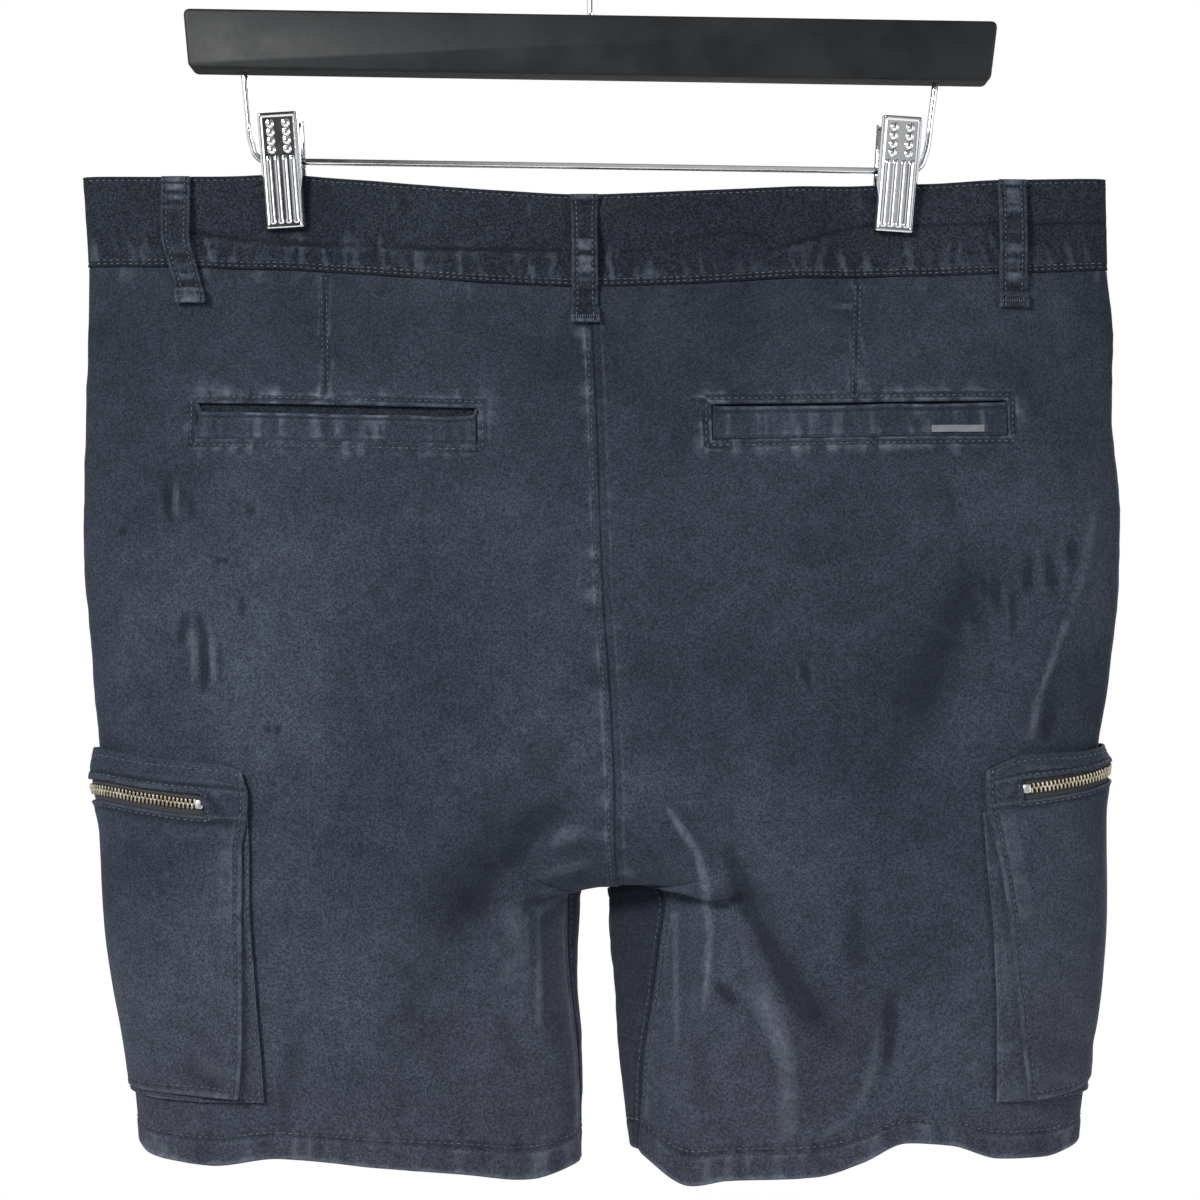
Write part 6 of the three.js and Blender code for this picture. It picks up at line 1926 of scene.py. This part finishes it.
# Hanger
HANGER_TILT = math.radians(0.9)
BAR = {"top": 85, "height": 27.6, "width": 373, "slant": 3, "thickness": 13}
HOOK = {"wire": 3.4, "radius": 21.7, "throat": 9, "turnEnd": 112, "crookStart": -62, "tip": 205}
CLIP_WIRE = {"wire": 3, "topHalf": 159, "bottomHalf": 154.5, "bottom": 153.2, "bend": 7}
CLIP = {"width": 17.5, "height": 51.6, "sheet": 1, "side": 3, "jaw": 3.5, "splay": 5.5}
CLIPS = {
    "left": {"x": -143.9, "top": 131, "tilt": math.radians(-3.6)},
    "right": {"x": 140.8, "top": 132.8, "tilt": math.radians(4.0)},
}


def placed(name, bm, matrix):
    bmesh.ops.transform(bm, matrix=Matrix.Scale(MM, 4) @ matrix, verts=bm.verts)
    data = bpy.data.meshes.new(name)
    bm.to_mesh(data)
    bm.free()
    data.polygons.foreach_set("use_smooth", [True] * len(data.polygons))
    return linked(name, data)


def bar_piece():
    bm = bmesh.new()
    bmesh.ops.create_cube(bm, size=1)
    bmesh.ops.scale(bm, vec=(BAR["width"], BAR["thickness"], BAR["height"]), verts=bm.verts)
    low = [v for v in bm.verts if v.co.z < 0]
    bmesh.ops.scale(bm, vec=((BAR["width"] - 2 * BAR["slant"]) / BAR["width"], 1, 1), verts=low)
    uprights = [e for e in bm.edges if abs((e.verts[0].co - e.verts[1].co).y) > 1]
    bmesh.ops.bevel(bm, geom=uprights, offset=3, segments=4, profile=0.5, affect="EDGES", material=-1)
    rims = [e for e in bm.edges if abs((e.verts[0].co - e.verts[1].co).y) < 0.01]
    bmesh.ops.bevel(bm, geom=rims, offset=1.5, segments=3, profile=0.5, affect="EDGES", material=-1)
    bmesh.ops.translate(bm, verts=bm.verts, vec=(0, 0, -BAR["top"] - BAR["height"] / 2))
    piece = placed("bar_painted", bm, Matrix.Rotation(HANGER_TILT, 4, "Y"))
    mark_sharp_by_angle(piece)
    return finished(piece, MATERIALS["bar"], "bar_wood", "hanger_bar")


def mark_sharp_by_angle(piece):
    piece.data.set_sharp_from_angle(angle=math.radians(35))


def rod_piece(name, points, wire, matrix, slot_node):
    """A round rod along smooth points, a little narrower at each end, closed by a flat cap there."""
    points = np.asarray(points, float)
    ahead = unit(np.gradient(points, axis=0))
    side = unit(np.cross(ahead, np.tile([[0.0, 1.0, 0.0]], (len(points), 1))))
    up = np.cross(side, ahead)
    angles = np.linspace(0, 2 * math.pi, 17)
    radii = np.full(len(points), wire / 2)
    radii[0] = radii[-1] = wire / 2 * 0.8
    ring = np.cos(angles)[None, :, None] * side[:, None, :] + np.sin(angles)[None, :, None] * up[:, None, :]
    grid = points[:, None, :] + ring * radii[:, None, None]
    bm = bmesh.new()
    bmesh.ops.create_grid(bm, x_segments=16, y_segments=len(points) - 1, size=1)
    for v in bm.verts:
        i = round((v.co.y + 1) / 2 * (len(points) - 1))
        j = round((v.co.x + 1) / 2 * 16)
        v.co = Vector(grid[i, j])
    bmesh.ops.remove_doubles(bm, verts=bm.verts, dist=0.001)
    bmesh.ops.holes_fill(bm, edges=[e for e in bm.edges if e.is_boundary], sides=0)
    bmesh.ops.recalc_face_normals(bm, faces=bm.faces)
    piece = placed(name, bm, matrix)
    mark_sharp_by_angle(piece)
    return finished(piece, MATERIALS["chrome"], "chrome", slot_node)


def arc(cx, cz, radius, start, end, count):
    angles = np.radians(np.linspace(start, end, count))
    return [(cx + radius * math.cos(a), 0, cz + radius * math.sin(a)) for a in angles]


def even_curve(points, count):
    """The same smooth curve through few points, at many."""
    data = bpy.data.curves.new("guide", "CURVE")
    data.dimensions = "3D"
    line = data.splines.new("BEZIER")
    line.bezier_points.add(len(points) - 1)
    for point, place in zip(line.bezier_points, points):
        point.co = place
        point.handle_left_type = point.handle_right_type = "AUTO"
    data.splines[0].resolution_u = 12
    guide = linked("guide", data)
    shape = guide.to_mesh()
    path = np.array([v.co[:] for v in shape.vertices])
    guide.to_mesh_clear()
    bpy.data.objects.remove(guide)
    bpy.data.curves.remove(data)
    along = np.concatenate([[0], np.cumsum(np.linalg.norm(np.diff(path, axis=0), axis=-1))])
    at = np.linspace(0, along[-1], count)
    return np.stack([np.interp(at, along, path[:, k]) for k in range(3)], axis=-1)


def hook_piece():
    centre = HOOK["wire"] / 2 - HOOK["radius"]
    bottom = centre - HOOK["radius"]
    throat = HOOK["throat"]
    stem = [(0, 0, z) for z in np.linspace(-BAR["top"] + GAP, bottom - throat, 5)]
    turn = arc(throat, bottom - throat, throat, 180, HOOK["turnEnd"], 5)[1:]
    crook = arc(0, centre, HOOK["radius"], HOOK["crookStart"], HOOK["tip"], 26)
    path = even_curve([*stem, *turn, *crook], 150)
    return rod_piece("hook_rod", path, HOOK["wire"], Matrix.Rotation(HANGER_TILT, 4, "Y"), "hanger_hook")


def wire_piece():
    bottom, bend, low_half = CLIP_WIRE["bottom"], CLIP_WIRE["bend"], CLIP_WIRE["bottomHalf"]
    top = -BAR["top"] - BAR["height"] - GAP
    leg = []
    for z in np.linspace(top, -bottom + 1.5 * bend, 4):
        share = (top - z) / (top + bottom)
        leg.append((-lerp(CLIP_WIRE["topHalf"], low_half, share), 0, z))
    corner = arc(-low_half + bend, -bottom + bend, bend, 184, 264, 5)
    half = [*leg, *corner, (-low_half + 2 * bend, 0, -bottom)]
    middle = [(x, 0, -bottom) for x in np.linspace(-low_half + 40, low_half - 40, 5)]
    far = [(-x, y, z) for x, y, z in reversed(half)]
    path = even_curve([*half, *middle, *far], 220)
    return rod_piece("clip_rod", path, CLIP_WIRE["wire"], Matrix.Rotation(HANGER_TILT, 4, "Y"), "hanger_wire")


BUMPS = {"across": 3.6, "first": 4.8, "pitch": 3.85, "rows": 4, "radius": 1.8, "rise": 0.85}
RIBS = {"across": (-5.3, -1.77, 1.77, 5.3), "start": 19.5, "end": 48.2, "half": 0.95, "rise": 0.7}


def plate_relief(x, down):
    """Raised rim, rows of bumps at the top, upright ribs ending in dots below."""
    half = CLIP["width"] / 2
    rim = np.minimum(half - np.abs(x), np.minimum(down, CLIP["height"] - down))
    height = 0.55 * (1 - smooth((rim - 0.9) / 0.8)) - 0.5 * (1 - smooth(rim / 0.5))
    for n in range(BUMPS["rows"]):
        for side in (-1, 1):
            off = np.hypot(x - side * BUMPS["across"], (down - BUMPS["first"] - n * BUMPS["pitch"]) * 1.1)
            height += BUMPS["rise"] * smooth((BUMPS["radius"] - off) / 1.1)
    upright = smooth((down - RIBS["start"]) / 1.2) * smooth((RIBS["end"] - down) / 1.0)
    for across in RIBS["across"]:
        height += RIBS["rise"] * upright * smooth((RIBS["half"] - np.abs(x - across)) / 0.55)
        dot = np.hypot(x - across, down - RIBS["end"] - 0.4)
        height += 0.5 * smooth((1.25 - dot) / 0.7)
    return height


def clip_plate_piece(name, side, facing):
    half, height = CLIP["width"] / 2, CLIP["height"]
    flange = [(-half, 0.2), (-half, 0.9), (-half, 1.7), (-half, 2.3), (-half + 0.35, 2.8)]
    across = np.linspace(-half + 0.8, half - 0.8, 60)
    profile_x = np.concatenate([[p[0] for p in flange], across, [-p[0] for p in reversed(flange)]])
    profile_y = np.concatenate([[p[1] for p in flange], np.full(60, CLIP["side"]), [p[1] for p in reversed(flange)]])
    downs = np.linspace(0, height, 110)
    x = np.repeat(profile_x[None, :], len(downs), axis=0)
    down = np.repeat(downs[:, None], len(profile_x), axis=1)
    on_top = np.concatenate([np.zeros(5), np.ones(60), np.zeros(5)])[None, :]
    y = np.repeat(profile_y[None, :], len(downs), axis=0) + on_top * plate_relief(x, down)
    points = np.stack([x, y - CLIP["sheet"] / 2, -down], axis=-1)
    bm = bmesh.new()
    bmesh.ops.create_grid(bm, x_segments=len(profile_x) - 1, y_segments=len(downs) - 1, size=1)
    for v in bm.verts:
        i = round((v.co.y + 1) / 2 * (len(downs) - 1))
        j = round((v.co.x + 1) / 2 * (len(profile_x) - 1))
        v.co = Vector(points[i, j])
    bmesh.ops.recalc_face_normals(bm, faces=bm.faces)
    middle = min(bm.faces, key=lambda f: (f.calc_center_median() - Vector((0, 3, -height / 2))).length)
    if middle.normal.y < 0:
        bmesh.ops.reverse_faces(bm, faces=bm.faces)
    clip = CLIPS[side]
    lean = math.atan2(CLIP["splay"], height)
    out = Matrix.Translation((0, CLIP["jaw"] + height * math.sin(lean), 0)) @ Matrix.Rotation(-lean, 4, "X")
    if facing < 0:
        out = Matrix.Rotation(math.pi, 4, "Z") @ out
    seat = Matrix.Translation((clip["x"], 0, -clip["top"])) @ Matrix.Rotation(clip["tilt"], 4, "Y")
    piece = placed(name, bm, seat @ out)
    thicken(piece, 0.8, 0.18)
    return piece


def clip_pieces(side):
    for facing, word in ((-1, "near"), (1, "far")):
        piece = clip_plate_piece(f"plate_{side}_{word}", side, facing)
        finished(piece, MATERIALS["chrome"], "chrome", f"clip_{side}_{word}")


def keep_metal_nodes():
    """Springs, sliders and pull tabs keep their solids, with a finish of their own."""
    for side in ("left", "right"):
        for node, material in (
            (f"clip_{side}_spring", "chrome"),
            (f"cargo_slider_{side}", "slider"),
            (f"cargo_pull_{side}", "slider"),
        ):
            piece = bpy.data.objects[node]
            piece.data.materials.clear()
            piece.data.materials.append(MATERIALS[material])


def make_shorts():
    for side in ("left", "right"):
        for face in ("back", "front"):
            panel_piece(side, face)
    waistband_piece()
    band = SURFACES["band"][0]
    normals = SURFACES["band"][1]
    for face, sign in (("back", -1), ("front", 1)):
        grids = [SURFACES[side, face][0] for side in ("left", "right")]
        facing = np.sign(normals[BAND_ROWS // 2, :, 1]) == sign
        SKINS[face] = skin_tree([*grids, band[:, facing] if facing.all() else masked(band, facing)])
    for side in ("left", "right"):
        facing_piece(side)
        welt_piece(side)
    tag_piece()
    sew_back_details()
    for n, (name, loop) in enumerate(LOOPS.items()):
        belt_loop_piece(name, loop, 201 + 7 * n)
    fly_lap_piece()
    buttonhole()
    button_piece()
    make_stitching("stitching")
    for side in ("left", "right"):
        cargo_face_piece(side)
        cargo_gusset_piece(side)
        zip_tape_piece(side)
        zip_teeth_piece(side)
    make_stitching("pocket_stitching")


def masked(grid, keep):
    """The band's columns of one face, taken together as one grid."""
    runs = np.flatnonzero(keep)
    return grid[:, runs]


def make_hanger():
    bar_piece()
    hook_piece()
    wire_piece()
    for side in ("left", "right"):
        clip_pieces(side)


look_from_behind()
light_the_studio()
lay_floor()
make_shorts()
make_hanger()
keep_metal_nodes()
